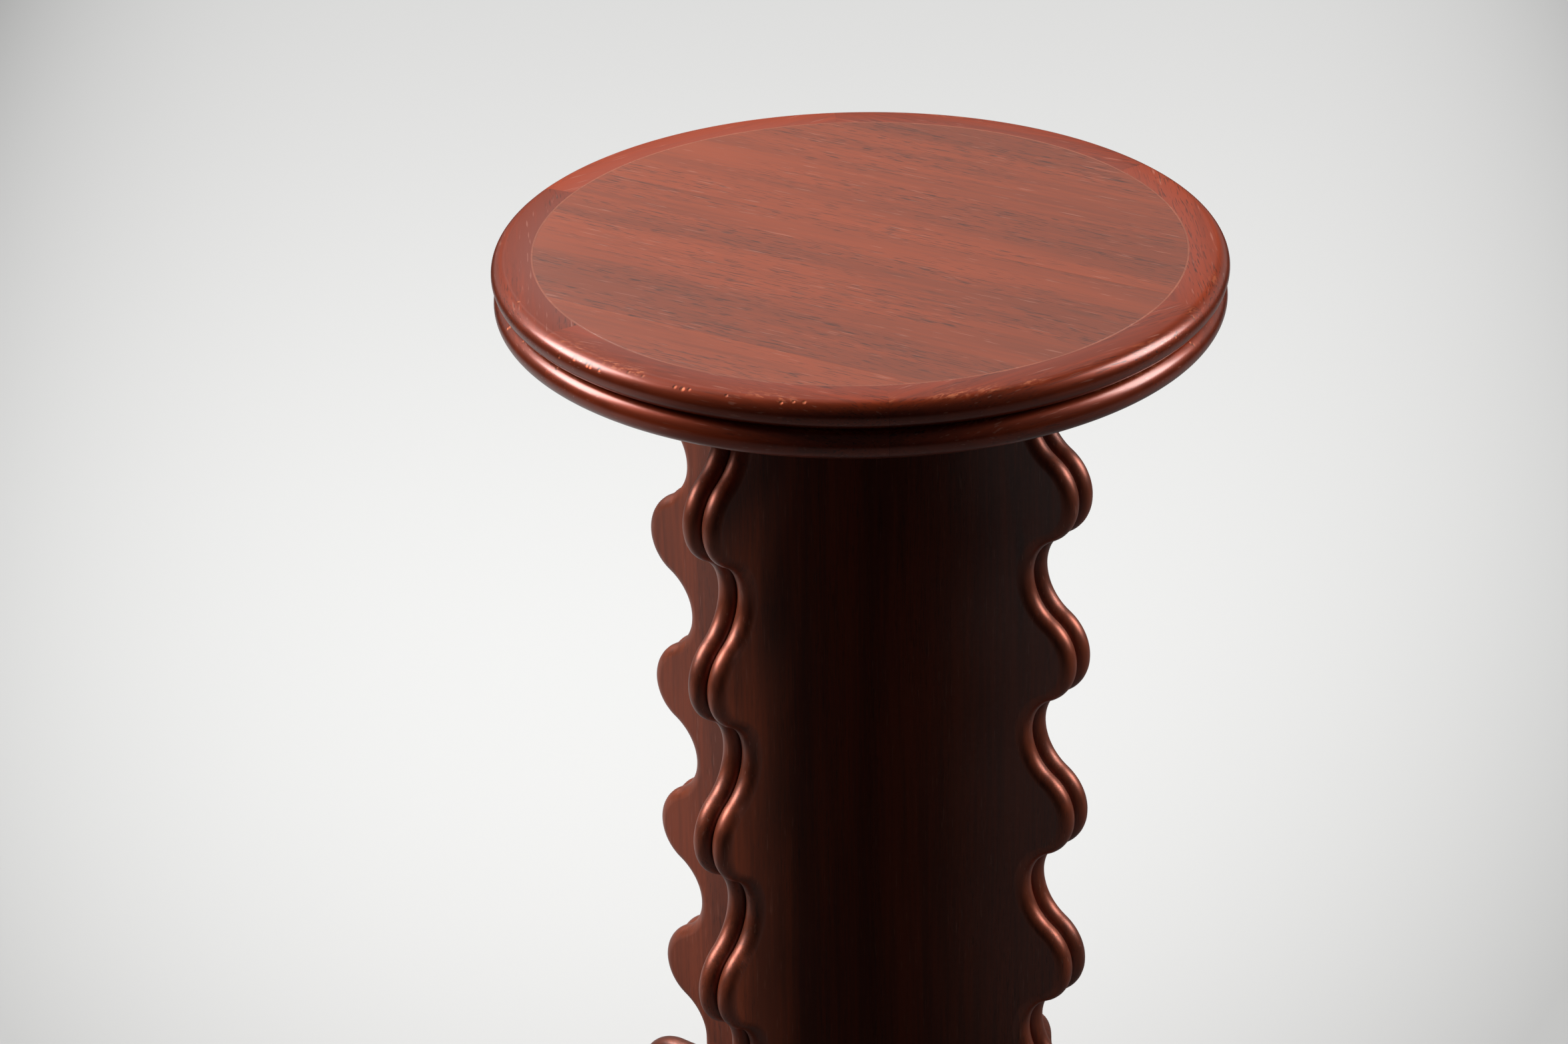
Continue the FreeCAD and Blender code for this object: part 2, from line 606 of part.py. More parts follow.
def foot_path():
    """List the corners of a foot's bead line: neck, cove, shoulder, knee, ankle and toe."""
    ankle = f"(Sizes.ankle_radius + {BEAD})"
    toe_front = f"({TOE_TIP} - {BEAD})"
    return [
        Corner(NECK_CORE, "Sizes.foot_height"),
        Corner(NECK_CORE, COVE_HEIGHT, f"(Sizes.cove_radius + {BEAD})", LEFT),
        Corner(f"({NECK} + Sizes.cove_radius)", SHOULDER_CORE),
        Corner(KNEE_CENTRE_ACROSS, SHOULDER_CORE, f"({WAVE_RADIUS} - {BEAD})", RIGHT),
        Corner(f"({KNEE_CENTRE_ACROSS} + {WAVE_RADIUS} - {BEAD})", KNEE_HEIGHT, ankle, LEFT),
        Corner(f"({ANKLE_CENTRE_ACROSS} - {ankle} * cos(Sizes.ankle_sweep))",
               f"({KNEE_HEIGHT} - {ankle} * sin(Sizes.ankle_sweep))",
               f"(Sizes.toe_radius - {BEAD})", RIGHT),
        Corner(toe_front, TOE_HEIGHT),
        Corner(toe_front, "Sizes.pad_thickness"),
    ]


def make_foot(doc, side):
    """Make a bracket foot that carries on the double bead of its fin down to the toe."""
    body = new_body(doc, f"foot_{side}", str(FIN_TURNS[side]))
    outline = new_sketch(body, "XZ_Plane", "outline")
    draw(outline, foot_path() + [
        Corner(ARCH_END, "Sizes.pad_thickness", ARCH_RADIUS, LEFT),
        Corner(BOARD_EDGE, "Sizes.column_bottom"),
        Corner(BOARD_EDGE, "Sizes.foot_height"),
    ])
    pad(body, outline, "block", "Sizes.fin_thickness")
    run_bead(body, "bead", foot_path())
    foot_dowel_holes(body)
    return body


def make_foot_dowels(doc):
    """Make the dowels between the fins and the feet, two to each foot."""
    body = new_body(doc, "foot_dowels")
    sketch = new_sketch(body, "YZ_Plane", "section", BOARD_EDGE)
    draw_circles(sketch, FOOT_DOWEL_PLACES, "Sizes.foot_dowel_radius")
    dowels = pad(body, sketch, "dowel", "Sizes.foot_dowel_length")
    repeat_round(body, [dowels], "dowels", str(FIN_COUNT))
    return body


def make_foot_pads(doc):
    """Make the round felt pads in the middle of the feet's soles."""
    body = new_body(doc, "foot_pads")
    sketch = new_sketch(body, "XY_Plane", "section")
    draw_circles(sketch, [(f"(({ARCH_END} + {TOE_TIP} - {BEAD}) / 2)", "0")],
                 f"({HALF_THICKNESS} - Sizes.pad_margin)")
    felt = pad(body, sketch, "felt", "Sizes.pad_thickness", side="One side")
    repeat_round(body, [felt], "felts", str(FIN_COUNT))
    return body


def check(doc, pieces):
    """Stop if any object failed or any sub-part has no valid solid."""
    for item in doc.Objects:
        if {"Invalid", "Error"} & set(item.State):
            raise RuntimeError(f"{item.Label} failed: {item.State}")
    for piece in pieces:
        if piece.Shape.isNull() or not piece.Shape.isValid() or not piece.Shape.Solids:
            raise RuntimeError(f"{piece.Label} has no valid solid")


def main():
    """Build every sub-part and write each to its own file."""
    doc = FreeCAD.newDocument("pedestal_side_table")
    sheet = fill_sheet(doc)
    pieces = make_boards(doc)
    pieces.append(make_stringing(doc))
    pieces += make_rim(doc, round(number(sheet, RIM_COUNT)))
    pieces.append(make_splines(doc))
    pieces.append(make_through_fin(doc))
    pieces += [make_wing_fin(doc, side) for side in ("front", "back")]
    pieces.append(make_wing_dowels(doc))
    pieces.append(make_top_dowels(doc))
    pieces += [make_corner_block(doc, index) for index in range(FIN_COUNT)]
    pieces.append(make_block_screws(doc))
    pieces += [make_foot(doc, side) for side in FIN_TURNS]
    pieces.append(make_foot_dowels(doc))
    pieces.append(make_foot_pads(doc))
    doc.recompute()
    check(doc, pieces)
    os.makedirs("parts", exist_ok=True)
    for piece in pieces:
        piece.Shape.exportStep(os.path.join("parts", f"{piece.Label}.step"))
        box = piece.Shape.BoundBox
        print(f"{piece.Label}: {len(piece.Shape.Solids)} solids, {piece.Shape.Volume / 1000:.1f} cm3, "
              f"z {box.ZMin:.1f} to {box.ZMax:.1f}")


main()
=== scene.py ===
"""Pedestal side table in red mahogany: finished pieces, finishes, studio and camera."""

import logging
import math
from dataclasses import dataclass
from enum import Enum
from functools import cache
from typing import Sequence

import bmesh
import bpy
from bmesh.types import BMEdge, BMesh
from bpy.types import ID, Material, Mesh, Node, NodeOutputs, NodeSocket, NodeTree, Object
from mathutils import Matrix, Vector


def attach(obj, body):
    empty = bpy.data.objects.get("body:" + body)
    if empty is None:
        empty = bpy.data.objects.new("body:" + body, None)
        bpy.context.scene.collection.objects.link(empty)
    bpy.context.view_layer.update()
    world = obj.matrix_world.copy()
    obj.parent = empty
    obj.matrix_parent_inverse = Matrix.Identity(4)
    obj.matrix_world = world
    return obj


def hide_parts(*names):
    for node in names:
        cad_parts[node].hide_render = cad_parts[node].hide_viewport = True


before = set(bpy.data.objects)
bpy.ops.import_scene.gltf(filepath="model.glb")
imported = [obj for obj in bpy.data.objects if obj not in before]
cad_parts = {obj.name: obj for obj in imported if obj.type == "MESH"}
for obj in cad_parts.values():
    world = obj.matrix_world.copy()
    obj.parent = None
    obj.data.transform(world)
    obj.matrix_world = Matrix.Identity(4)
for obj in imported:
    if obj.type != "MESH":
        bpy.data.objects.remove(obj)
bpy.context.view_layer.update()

LOG = logging.getLogger("side_table")
MM = 0.001
WELD = 0.004 * MM
SHARP_ANGLE = math.radians(32)
QUARTER = math.pi / 2
BODY = "root"

Colour = tuple[float, float, float, float]
Triple = tuple[float, float, float]
Point = tuple[float, float]
Outline = list[Point]
Traits = dict[str, list[float]]
Kinds = dict[str, str]
Feeds = dict[str | int, object]


class Side(Enum):
    """The ways the fins and feet point, as turns from +X in degrees."""

    RIGHT = 0
    BACK = 90
    LEFT = 180
    FRONT = 270


class Bead(Enum):
    """The two half rounds of the top's edge: radius, and place of the middle across and up."""

    UPPER = (6.5 * MM, 153.5 * MM, 553.5 * MM)
    LOWER = (7.0 * MM, 152.4 * MM, 540.0 * MM)


class Layer(Enum):
    """Noise in the finishes: changes to a metre along and across, layers of finer noise, ends of its rise."""

    SWAY = (4, 14, 2)
    RIBBON = (2.5, 42, 3)
    FIBRE = (16, 420, 4)
    CLOUD = (4, 9, 1, 0.3, 0.7)
    CLUSTER = (6, 55, 2, 0.38, 0.62)
    PORE = (110, 1500, 1, 0.56, 0.70)
    VEIN = (40, 900, 2, 0.52, 0.72)
    SMUDGE = (24, 130, 2, 0.60, 0.76)
    SMUDGED_PART = (5, 22, 2, 0.48, 0.62)
    FLECK = (70, 900, 1, 0.66, 0.76)
    WORN_PATCH = (30, 55, 3, 0.52, 0.66)
    WORN_SPECK = (300, 900, 2, 0.48, 0.62)
    STEEL_HAZE = (500, 500, 3)
    FELT_NAP = (1600, 1600, 4)


def polar(reach: float, turn: float, height: float = 0.0) -> Vector:
    """Give a point by its reach from the Z axis, its turn in radians and its height."""
    return Vector((reach * math.cos(turn), reach * math.sin(turn), height))


@dataclass(frozen=True)
class Mark:
    """A small knock on a bead, with its turn round the top and its lift up the bead in degrees."""

    bead: Bead
    turn: float
    lift: float
    radius: float
    bare: float

    def place(self) -> Vector:
        """Give the middle of the mark.

        Returns:
            The point on the bead.
        """
        radius, across, height = self.bead.value
        lift = math.radians(self.lift)
        reach = across + radius * math.cos(lift)
        return polar(reach, math.radians(self.turn), height + radius * math.sin(lift))


# Node trees

class NodeBench:
    """Places and joins the nodes of one tree."""

    def __init__(self, tree: NodeTree) -> None:
        """Start on a tree."""
        self.tree = tree

    def feed(self, node: Node, feeds: Feeds) -> None:
        """Feed a node's inputs.

        Args:
            node: The node.
            feeds: Input names or numbers, each with a value or the socket that feeds it.
        """
        for name, value in feeds.items():
            if isinstance(value, NodeSocket):
                self.tree.links.new(value, node.inputs[name])
            else:
                node.inputs[name].default_value = value

    def add(self, kind: str, feeds: Feeds | None = None, **settings: object) -> Node:
        """Place a node.

        Args:
            kind: Blender's name of the node type.
            feeds: What feeds its inputs.
            settings: Properties of the node itself.

        Returns:
            The node.
        """
        node = self.tree.nodes.new(kind)
        for name, value in settings.items():
            setattr(node, name, value)
        self.feed(node, feeds or {})
        return node

    def group(self, tree: NodeTree, feeds: Feeds) -> NodeOutputs:
        """Use a shader node group."""
        return self.add("ShaderNodeGroup", feeds, node_tree=tree).outputs

    def place(self) -> NodeSocket:
        """Read the place in the object's own coordinates."""
        return self.add("ShaderNodeTexCoord").outputs["Object"]

    def trait(self, name: str, output: str = "Fac") -> NodeSocket:
        """Read an attribute of the piece."""
        return self.add("ShaderNodeAttribute", attribute_name=name).outputs[output]

    def measure(self, operation: str, place: NodeSocket, other: Vector) -> NodeSocket:
        """Measure a place against another by a vector operation, such as DISTANCE."""
        return self.add("ShaderNodeVectorMath", {0: place, 1: other}, operation=operation).outputs["Value"]

    def math(self, operation: str, first: object, second: object) -> NodeSocket:
        """Combine two numbers or sockets by an operation, such as ADD."""
        return self.add("ShaderNodeMath", {0: first, 1: second}, operation=operation).outputs[0]

    def times(self, first: object, second: object) -> NodeSocket:
        """Multiply two numbers or sockets."""
        return self.math("MULTIPLY", first, second)

    def centred(self, share: NodeSocket) -> NodeSocket:
        """Shift a share from about a half to about nothing."""
        return self.math("SUBTRACT", share, 0.5)

    def mix(self, share: object, first: object, second: object) -> NodeSocket:
        """Mix a share of the second colour into the first."""
        return self.add("ShaderNodeMix", {0: share, 6: first, 7: second}, data_type="RGBA").outputs[2]

    def ramp(self, value: NodeSocket, low: float, high: float) -> NodeSocket:
        """Rise smoothly from 0 to 1 between two values."""
        feeds = {"Value": value, "From Min": low, "From Max": high}
        return self.add("ShaderNodeMapRange", feeds, interpolation_type="SMOOTHSTEP").outputs[0]

    def bump(self, height: NodeSocket, strength: float, depth: float) -> NodeSocket:
        """Give the normal of a surface raised by a height."""
        feeds = {"Strength": strength, "Distance": depth, "Height": height}
        return self.add("ShaderNodeBump", feeds).outputs["Normal"]

    def noise(self, place: NodeSocket, layer: Layer) -> NodeSocket:
        """Draw a layer of noise.

        Args:
            place: The place, with the grain along X.
            layer: The kind of noise.

        Returns:
            The noise about 0.5, or its rise from 0 to 1 where the layer has one.
        """
        along, across, detail, *rise = layer.value
        stretch = {0: place, 1: (along, across, across)}
        scaled = self.add("ShaderNodeVectorMath", stretch, operation="MULTIPLY")
        drawn = self.add("ShaderNodeTexNoise", {"Vector": scaled.outputs[0], "Scale": 1.0, "Detail": detail})
        return self.ramp(drawn.outputs["Fac"], *rise) if rise else drawn.outputs["Fac"]


def new_group(name: str, inputs: Kinds, outputs: Kinds) -> tuple[NodeBench, NodeOutputs, Node]:
    """Start a shader node group.

    Args:
        name: Name of the group.
        inputs: Input names with their kinds, such as Float.
        outputs: Output names with their kinds.

    Returns:
        The bench, the sockets to read the inputs from, and the node to feed.
    """
    tree = bpy.data.node_groups.new(name, "ShaderNodeTree")
    for sockets, way in ((inputs, "INPUT"), (outputs, "OUTPUT")):
        for label, kind in sockets.items():
            tree.interface.new_socket(label, in_out=way, socket_type=f"NodeSocket{kind}")
    bench = NodeBench(tree)
    return bench, bench.add("NodeGroupInput").outputs, bench.add("NodeGroupOutput")


@dataclass(frozen=True)
class Figure:
    """The figure of a board: clouds, ribbon, fibres, pores, veins, smudges and flecks along the grain."""

    sway: float = 7 * MM
    ribbons: float = 1.5
    fibres: float = 0.9
    lit: Point = (0.85, 1.6)
    shading: float = 0.5
    veins: float = 0.6
    flecks: float = 0.28
    pore: Colour = (0.03, 0.012, 0.008, 1)
    fleck: Colour = (0.62, 0.28, 0.20, 1)
    pore_dullness: float = 0.12
    fibre_dullness: float = 0.14
    fibre_relief: float = 0.35

    @cache
    def group(self) -> NodeTree:
        """Build the shader group.

        Returns:
            The group, with the colour, roughness and relief of the wood.
        """
        bench, given, made = new_group(
            "wood_figure",
            {"Grain": "Vector", "Tone": "Float", "Light": "Color", "Deep": "Color", "Smudge": "Color",
             "Smudges": "Float", "Pores": "Float", "Satin": "Float"},
            {"Color": "Color", "Roughness": "Float", "Relief": "Float"},
        )
        sway = bench.times(bench.centred(bench.noise(given["Grain"], Layer.SWAY)), self.sway)
        shift = bench.add("ShaderNodeCombineXYZ", {"Y": sway, "Z": sway}).outputs[0]
        grain = bench.add("ShaderNodeVectorMath", {0: given["Grain"], 1: shift}).outputs[0]
        ribbon = bench.noise(grain, Layer.RIBBON)
        fibre = bench.noise(grain, Layer.FIBRE)
        cluster = bench.noise(grain, Layer.CLUSTER)
        pore = bench.times(bench.noise(grain, Layer.PORE), cluster)
        vein = bench.times(bench.noise(grain, Layer.VEIN), cluster)
        smudge = bench.times(bench.noise(grain, Layer.SMUDGE), bench.noise(grain, Layer.SMUDGED_PART))
        fleck = bench.noise(grain, Layer.FLECK)

        weave = bench.math("ADD", bench.times(ribbon, self.ribbons), bench.times(fibre, self.fibres))
        cloud = bench.centred(bench.noise(grain, Layer.CLOUD))
        shade = bench.times(bench.math("ADD", given["Tone"], cloud), self.shading)
        lit = bench.math("ADD", bench.ramp(weave, *self.lit), shade)
        colour = bench.mix(lit, given["Deep"], given["Light"])
        for layer, amount, over in (
            (vein, bench.times(given["Pores"], self.veins), given["Smudge"]),
            (smudge, given["Smudges"], given["Smudge"]),
            (pore, given["Pores"], self.pore),
            (fleck, self.flecks, self.fleck),
        ):
            colour = bench.mix(bench.times(layer, amount), colour, over)
        rough = bench.math("ADD", given["Satin"], bench.times(pore, self.pore_dullness))
        rough = bench.math("ADD", rough, bench.times(bench.centred(fibre), self.fibre_dullness))
        relief = bench.math("SUBTRACT", bench.times(fibre, self.fibre_relief), pore)
        bench.feed(made, {"Color": colour, "Roughness": rough, "Relief": relief})
        return bench.tree


@cache
def handling_group() -> NodeTree:
    """Build the marks of use: lacquer rubbed thin on raised edges, and fine bare specks.

    Returns:
        The shader group, with the worn colour and the share of wear.
    """
    bench, given, made = new_group(
        "handling_marks",
        {"Place": "Vector", "Rub": "Float", "Color": "Color", "Bare": "Color", "Amount": "Float"},
        {"Color": "Color", "Wear": "Float"},
    )
    patch, speck = (bench.noise(given["Place"], layer) for layer in (Layer.WORN_PATCH, Layer.WORN_SPECK))
    edge = bench.times(given["Rub"], given["Rub"])
    wear = bench.times(bench.times(bench.times(patch, speck), edge), given["Amount"])
    bench.feed(made, {"Color": bench.mix(wear, given["Color"], given["Bare"]), "Wear": wear})
    return bench.tree


# Finishes

class Finish:
    """A finish, which says what feeds the shader of its material."""

    name: str

    def feeds(self, bench: NodeBench) -> Feeds:
        """Give what feeds the shader's inputs, placed on the material's bench."""
        raise NotImplementedError

    def material(self) -> Material:
        """Make the material.

        Returns:
            The finished material.
        """
        material = bpy.data.materials.new(self.name)
        material.use_nodes = True
        bench = NodeBench(material.node_tree)
        shader = next(node for node in bench.tree.nodes if node.type == "BSDF_PRINCIPLED")
        bench.feed(shader, self.feeds(bench))
        return material


@dataclass(frozen=True)
class LacqueredWood(Finish):
    """A wood under satin lacquer, with its grain read from the piece's own grain attribute."""

    name: str
    light: Colour
    deep: Colour
    smudge: Colour
    smudges: float
    pores: float
    satin: float
    wear: float
    bare: Colour = (0.62, 0.17, 0.07, 1)
    worn_dullness: float = 0.15
    # Painted shade: a near-black colour laid into the creases, where shade falls between the half rounds.
    grime: Colour = (0.016, 0.007, 0.005, 1)
    crease_shading: float = 0.9
    fibre_satin: float = 0.38
    fibre_shine: float = 0.2
    lustre: float = 0.5
    rubbed: float = 0.85
    lacquer_index: float = 1.55
    relief: float = 0.12
    relief_depth: float = 0.2 * MM
    marks: tuple[Mark, ...] = ()
    mark_depth: float = 0.35 * MM
    mark_loss: float = 0.15

    def press(self, bench: NodeBench, colour: NodeSocket, normal: NodeSocket,
              thinned: NodeSocket) -> tuple[NodeSocket, ...]:
        """Press the marks into the finish.

        Args:
            bench: The bench on the material's nodes.
            colour: The colour without marks.
            normal: The surface without marks.
            thinned: How far the lacquer is gone without marks.

        Returns:
            The colour, the surface and how far the lacquer is gone, with the marks.
        """
        place = bench.place()
        depth = 0.0
        for mark in self.marks:
            near = bench.ramp(bench.measure("DISTANCE", place, mark.place()), mark.radius, 0.0)
            depth = bench.math("MAXIMUM", near, depth)
            colour = bench.mix(bench.times(near, mark.bare), colour, self.bare)
        dent = {"Strength": 1.0, "Distance": self.mark_depth, "Height": depth, "Normal": normal}
        dented = bench.add("ShaderNodeBump", dent, invert=True).outputs["Normal"]
        return colour, dented, bench.math("MAXIMUM", bench.times(depth, self.mark_loss), thinned)

    def feeds(self, bench: NodeBench) -> Feeds:
        """Lay the lacquer over the figure, the marks of use and the grime.

        Args:
            bench: The bench on the material's nodes.

        Returns:
            Lay the lacquer over the figure, the marks of use and the painted shade in the creases.
        """
        grain = bench.trait("grain", "Vector")
        tone, rub, gleam, grime = (bench.trait(label) for label in ("tone", "rub", "gleam", "grime"))
        figure = bench.group(Figure().group(), {
            "Grain": grain, "Tone": tone, "Light": self.light, "Deep": self.deep, "Smudge": self.smudge,
            "Smudges": self.smudges, "Pores": self.pores, "Satin": self.fibre_satin,
        })
        used = bench.group(handling_group(), {
            "Place": grain, "Rub": rub, "Color": figure["Color"], "Bare": self.bare, "Amount": self.wear,
        })
        colour = used["Color"]
        normal = bench.bump(figure["Relief"], self.relief, self.relief_depth)
        thinned = bench.math("MAXIMUM", used["Wear"], bench.times(rub, self.rubbed))
        if self.marks:
            colour, normal, thinned = self.press(bench, colour, normal, thinned)
        # Painted shade: the creases are darkened and lose their sheen.
        unshaded = bench.math("SUBTRACT", 1.0, grime)
        dulled = bench.times(used["Wear"], self.worn_dullness)
        return {
            "Base Color": bench.mix(bench.times(grime, self.crease_shading), colour, self.grime),
            "Roughness": bench.math("ADD", figure["Roughness"], dulled),
            "Metallic": bench.times(bench.times(gleam, unshaded), self.lustre),
            "Normal": normal,
            "Specular IOR Level": self.fibre_shine,
            "Coat Weight": bench.math("SUBTRACT", 1.0, thinned),
            "Coat Roughness": self.satin,
            "Coat IOR": self.lacquer_index,
        }


@dataclass(frozen=True)
class BareWood(Finish):
    """An unfinished wood of the hidden joinery, with its grain along one axis of the table."""

    name: str
    light: Colour
    deep: Colour
    smudge: Colour
    turn: Triple = (0.0, 0.0, 0.0)
    smudges: float = 0.25
    pores: float = 0.3
    satin: float = 0.6
    relief: float = 0.25
    relief_depth: float = 0.2 * MM

    def feeds(self, bench: NodeBench) -> Feeds:
        """Lay the bare figure along the grain.

        Args:
            bench: The bench on the material's nodes.

        Returns:
            What feeds the shader's inputs.
        """
        turned = bench.add("ShaderNodeMapping", {"Vector": bench.place(), "Rotation": self.turn})
        figure = bench.group(Figure().group(), {
            "Grain": turned.outputs[0], "Light": self.light, "Deep": self.deep, "Smudge": self.smudge,
            "Smudges": self.smudges, "Pores": self.pores, "Satin": self.satin,
        })
        normal = bench.bump(figure["Relief"], self.relief, self.relief_depth)
        return {"Base Color": figure["Color"], "Roughness": figure["Roughness"], "Normal": normal}


@dataclass(frozen=True)
class Steel(Finish):
    """Plain bright steel with faint handling haze."""

    name: str = "screw_steel"
    bright: Colour = (0.52, 0.51, 0.49, 1)
    dull: Colour = (0.34, 0.32, 0.30, 1)
    polish: float = 0.22
    haze: float = 0.25

    def feeds(self, bench: NodeBench) -> Feeds:
        """Haze the steel."""
        haze = bench.noise(bench.place(), Layer.STEEL_HAZE)
        return {"Base Color": bench.mix(haze, self.dull, self.bright), "Metallic": 1.0,
                "Roughness": bench.math("ADD", self.polish, bench.times(haze, self.haze))}


@dataclass(frozen=True)
class Felt(Finish):
    """Pressed felt with a matted nap."""

    name: str = "dark_felt"
    nap: Colour = (0.055, 0.045, 0.040, 1)
    shade: Colour = (0.020, 0.016, 0.015, 1)
    dullness: float = 0.95
    relief: float = 0.6
    relief_depth: float = 0.3 * MM

    def feeds(self, bench: NodeBench) -> Feeds:
        """Mat the nap."""
        nap = bench.noise(bench.place(), Layer.FELT_NAP)
        return {"Base Color": bench.mix(nap, self.shade, self.nap), "Roughness": self.dullness,
                "Normal": bench.bump(nap, self.relief, self.relief_depth)}


# Each row is a mark's turn, lift, radius in millimetres and share of bare wood.
KNOCKS = tuple(
    Mark(bead, turn, lift, radius * MM, bare)
    for bead, rows in {
        Bead.UPPER: (
            (-101.2, 36, 1.5, 0.6), (-98.3, 35, 1.6, 0.6), (-97.6, 35, 1.6, 0.6), (-95.7, 34, 1.2, 0.6),
            (-90.5, 62, 1.2, 0.6), (-87.9, 63, 1.0, 0.6), (-82.0, 53, 1.1, 0.8), (-80.7, 52, 1.4, 1.0),
            (-79.6, 55, 1.0, 0.8), (-73.6, 57, 1.0, 0.5), (-63.4, 60, 1.0, 0.7), (-61.8, 61, 1.2, 0.8),
            (-104.6, 14, 1.2, 0.5), (-122.5, 82, 1.1, 0.9), (-65.2, 52, 1.1, 0.6), (7.9, 43, 1.1, 0.9),
            (1.4, 30, 1.1, 0.9), (2.2, 36, 1.0, 0.9),
        ),
        Bead.LOWER: (
            (-125.0, 50, 1.2, 0.9), (-125.2, 42, 1.2, 0.9), (-118.8, 56, 1.2, 0.8), (-107.4, 57, 1.1, 0.6),
            (8.2, 50, 1.1, 0.9), (8.6, 40, 1.1, 0.8),
        ),
    }.items()
    for turn, lift, radius, bare in rows
)
FIELD_WOOD = LacqueredWood(
    name="mahogany_field", light=(0.362, 0.059, 0.013, 1), deep=(0.246, 0.042, 0.010, 1),
    smudge=(0.085, 0.030, 0.014, 1), smudges=0.34, pores=0.75, satin=0.22, wear=0.5,
)
RIM_WOOD = LacqueredWood(
    name="mahogany_rim", light=(0.350, 0.045, 0.010, 1), deep=(0.220, 0.030, 0.008, 1),
    smudge=(0.100, 0.020, 0.007, 1), smudges=0.7, pores=0.7, satin=0.24, wear=0.8,
    fibre_shine=0.1, rubbed=0.97, marks=KNOCKS,
)
COLUMN_WOOD = LacqueredWood(
    name="mahogany_column", light=(0.410, 0.077, 0.025, 1), deep=(0.200, 0.039, 0.013, 1),
    smudge=(0.090, 0.020, 0.008, 1), smudges=0.5, pores=0.4, satin=0.42, wear=0.3,
    fibre_satin=0.42, lustre=0.58,
)
LINE_WOOD = LacqueredWood(
    name="stringing_line", light=(0.46, 0.115, 0.050, 1), deep=(0.32, 0.070, 0.026, 1),
    smudge=(0.22, 0.05, 0.020, 1), smudges=0.6, pores=0.2, satin=0.22, wear=0.0,
)
BLOCK_WOOD = BareWood(
    name="glue_block_wood", light=(0.22, 0.068, 0.028, 1), deep=(0.14, 0.042, 0.017, 1),
    smudge=(0.08, 0.025, 0.012, 1), turn=(0.0, QUARTER, 0.0),
)
DOWEL_WOOD = BareWood(
    name="dowel_wood", light=(0.58, 0.41, 0.25, 1), deep=(0.45, 0.29, 0.16, 1), smudge=(0.3, 0.18, 0.1, 1),
)


# Meshes

def new_object(name: str, data: ID) -> Object:
    """Put an object in the scene.

    Args:
        name: Its name.
        data: Its mesh, camera or lamp.

    Returns:
        The object.
    """
    made = bpy.data.objects.new(name, data)
    bpy.context.scene.collection.objects.link(made)
    return made


def wire_mesh(name: str, points: Sequence[Sequence[float]], closed: bool) -> Mesh:
    """Make a line of edges.

    Args:
        name: Name of the mesh.
        points: The corners in order.
        closed: Whether the last corner joins the first.

    Returns:
        The mesh, with edges alone.
    """
    count = len(points)
    edges = [(index, (index + 1) % count) for index in range(count if closed else count - 1)]
    mesh = bpy.data.meshes.new(name)
    mesh.from_pydata([tuple(point) for point in points], edges, [])
    return mesh


def plain_mesh(piece: Object, name: str) -> Mesh:
    """Take a piece's mesh with its modifiers in it, and remove the piece.

    Args:
        piece: An object in the scene.
        name: Name of the new mesh.

    Returns:
        The plain mesh.
    """
    layer = bpy.context.evaluated_depsgraph_get()
    source = piece.evaluated_get(layer)
    mesh = bpy.data.meshes.new_from_object(source, preserve_all_data_layers=True, depsgraph=layer)
    mesh.name = name
    bpy.data.objects.remove(piece)
    return mesh


class NodeTool:
    """A Geometry Nodes tree with named inputs, run on a mesh to give a plain mesh."""

    def __init__(self, name: str, inputs: Kinds) -> None:
        """Start the tree.

        Args:
            name: Name of the tree.
            inputs: Input names with their kinds, such as Object.
        """
        self.tree = bpy.data.node_groups.new(name, "GeometryNodeTree")
        face = self.tree.interface
        face.new_socket("Geometry", in_out="INPUT", socket_type="NodeSocketGeometry")
        self.sockets = {
            label: face.new_socket(label, in_out="INPUT", socket_type=f"NodeSocket{kind}").identifier
            for label, kind in inputs.items()
        }
        face.new_socket("Geometry", in_out="OUTPUT", socket_type="NodeSocketGeometry")
        self.bench = NodeBench(self.tree)
        self.given = self.bench.add("NodeGroupInput").outputs

    def close(self, made: NodeSocket) -> None:
        """End the tree in plain geometry with its material.

        Args:
            made: The geometry.
        """
        for kind in ("GeometryNodeRealizeInstances", "GeometryNodeSetShadeSmooth"):
            made = self.bench.add(kind, {"Geometry": made}).outputs[0]
        dress = {"Geometry": made, "Material": self.given["Finish"]}
        self.bench.add("NodeGroupOutput", {0: self.bench.add("GeometryNodeSetMaterial", dress).outputs[0]})

    def run(self, start: Mesh, values: dict[str, object]) -> Mesh:
        """Run the tree.

        Args:
            start: The mesh that the tree starts from.
            values: Input names with their values.

        Returns:
            The plain mesh.
        """
        piece = bpy.data.objects.new(start.name, start)
        modifier = piece.modifiers.new(self.tree.name, "NODES")
        modifier.node_group = self.tree
        for label, value in values.items():
            modifier[self.sockets[label]] = value
        bpy.context.scene.collection.objects.link(piece)
        return plain_mesh(piece, start.name)


@cache
def moulding_tool() -> NodeTool:
    """Build the tree that runs a section along a level line, with the section's X to the line's right.

    Returns:
        The tool.
    """
    inputs = {"Section": "Object", "Close Ends": "Bool", "Weld": "Float", "Finish": "Material"}
    tool = NodeTool("run_moulding", inputs)
    bench, given = tool.bench, tool.given
    drawn = bench.add("GeometryNodeObjectInfo", {"Object": given["Section"]})
    line, section = (bench.add("GeometryNodeMeshToCurve", {"Mesh": mesh}).outputs[0]
                     for mesh in (given["Geometry"], drawn.outputs["Geometry"]))
    parts = {"Curve": line, "Profile Curve": section, "Fill Caps": given["Close Ends"]}
    run = bench.add("GeometryNodeCurveToMesh", parts).outputs[0]
    merged = bench.add("GeometryNodeMergeByDistance", {"Geometry": run, "Distance": given["Weld"]})
    tool.close(merged.outputs[0])
    return tool


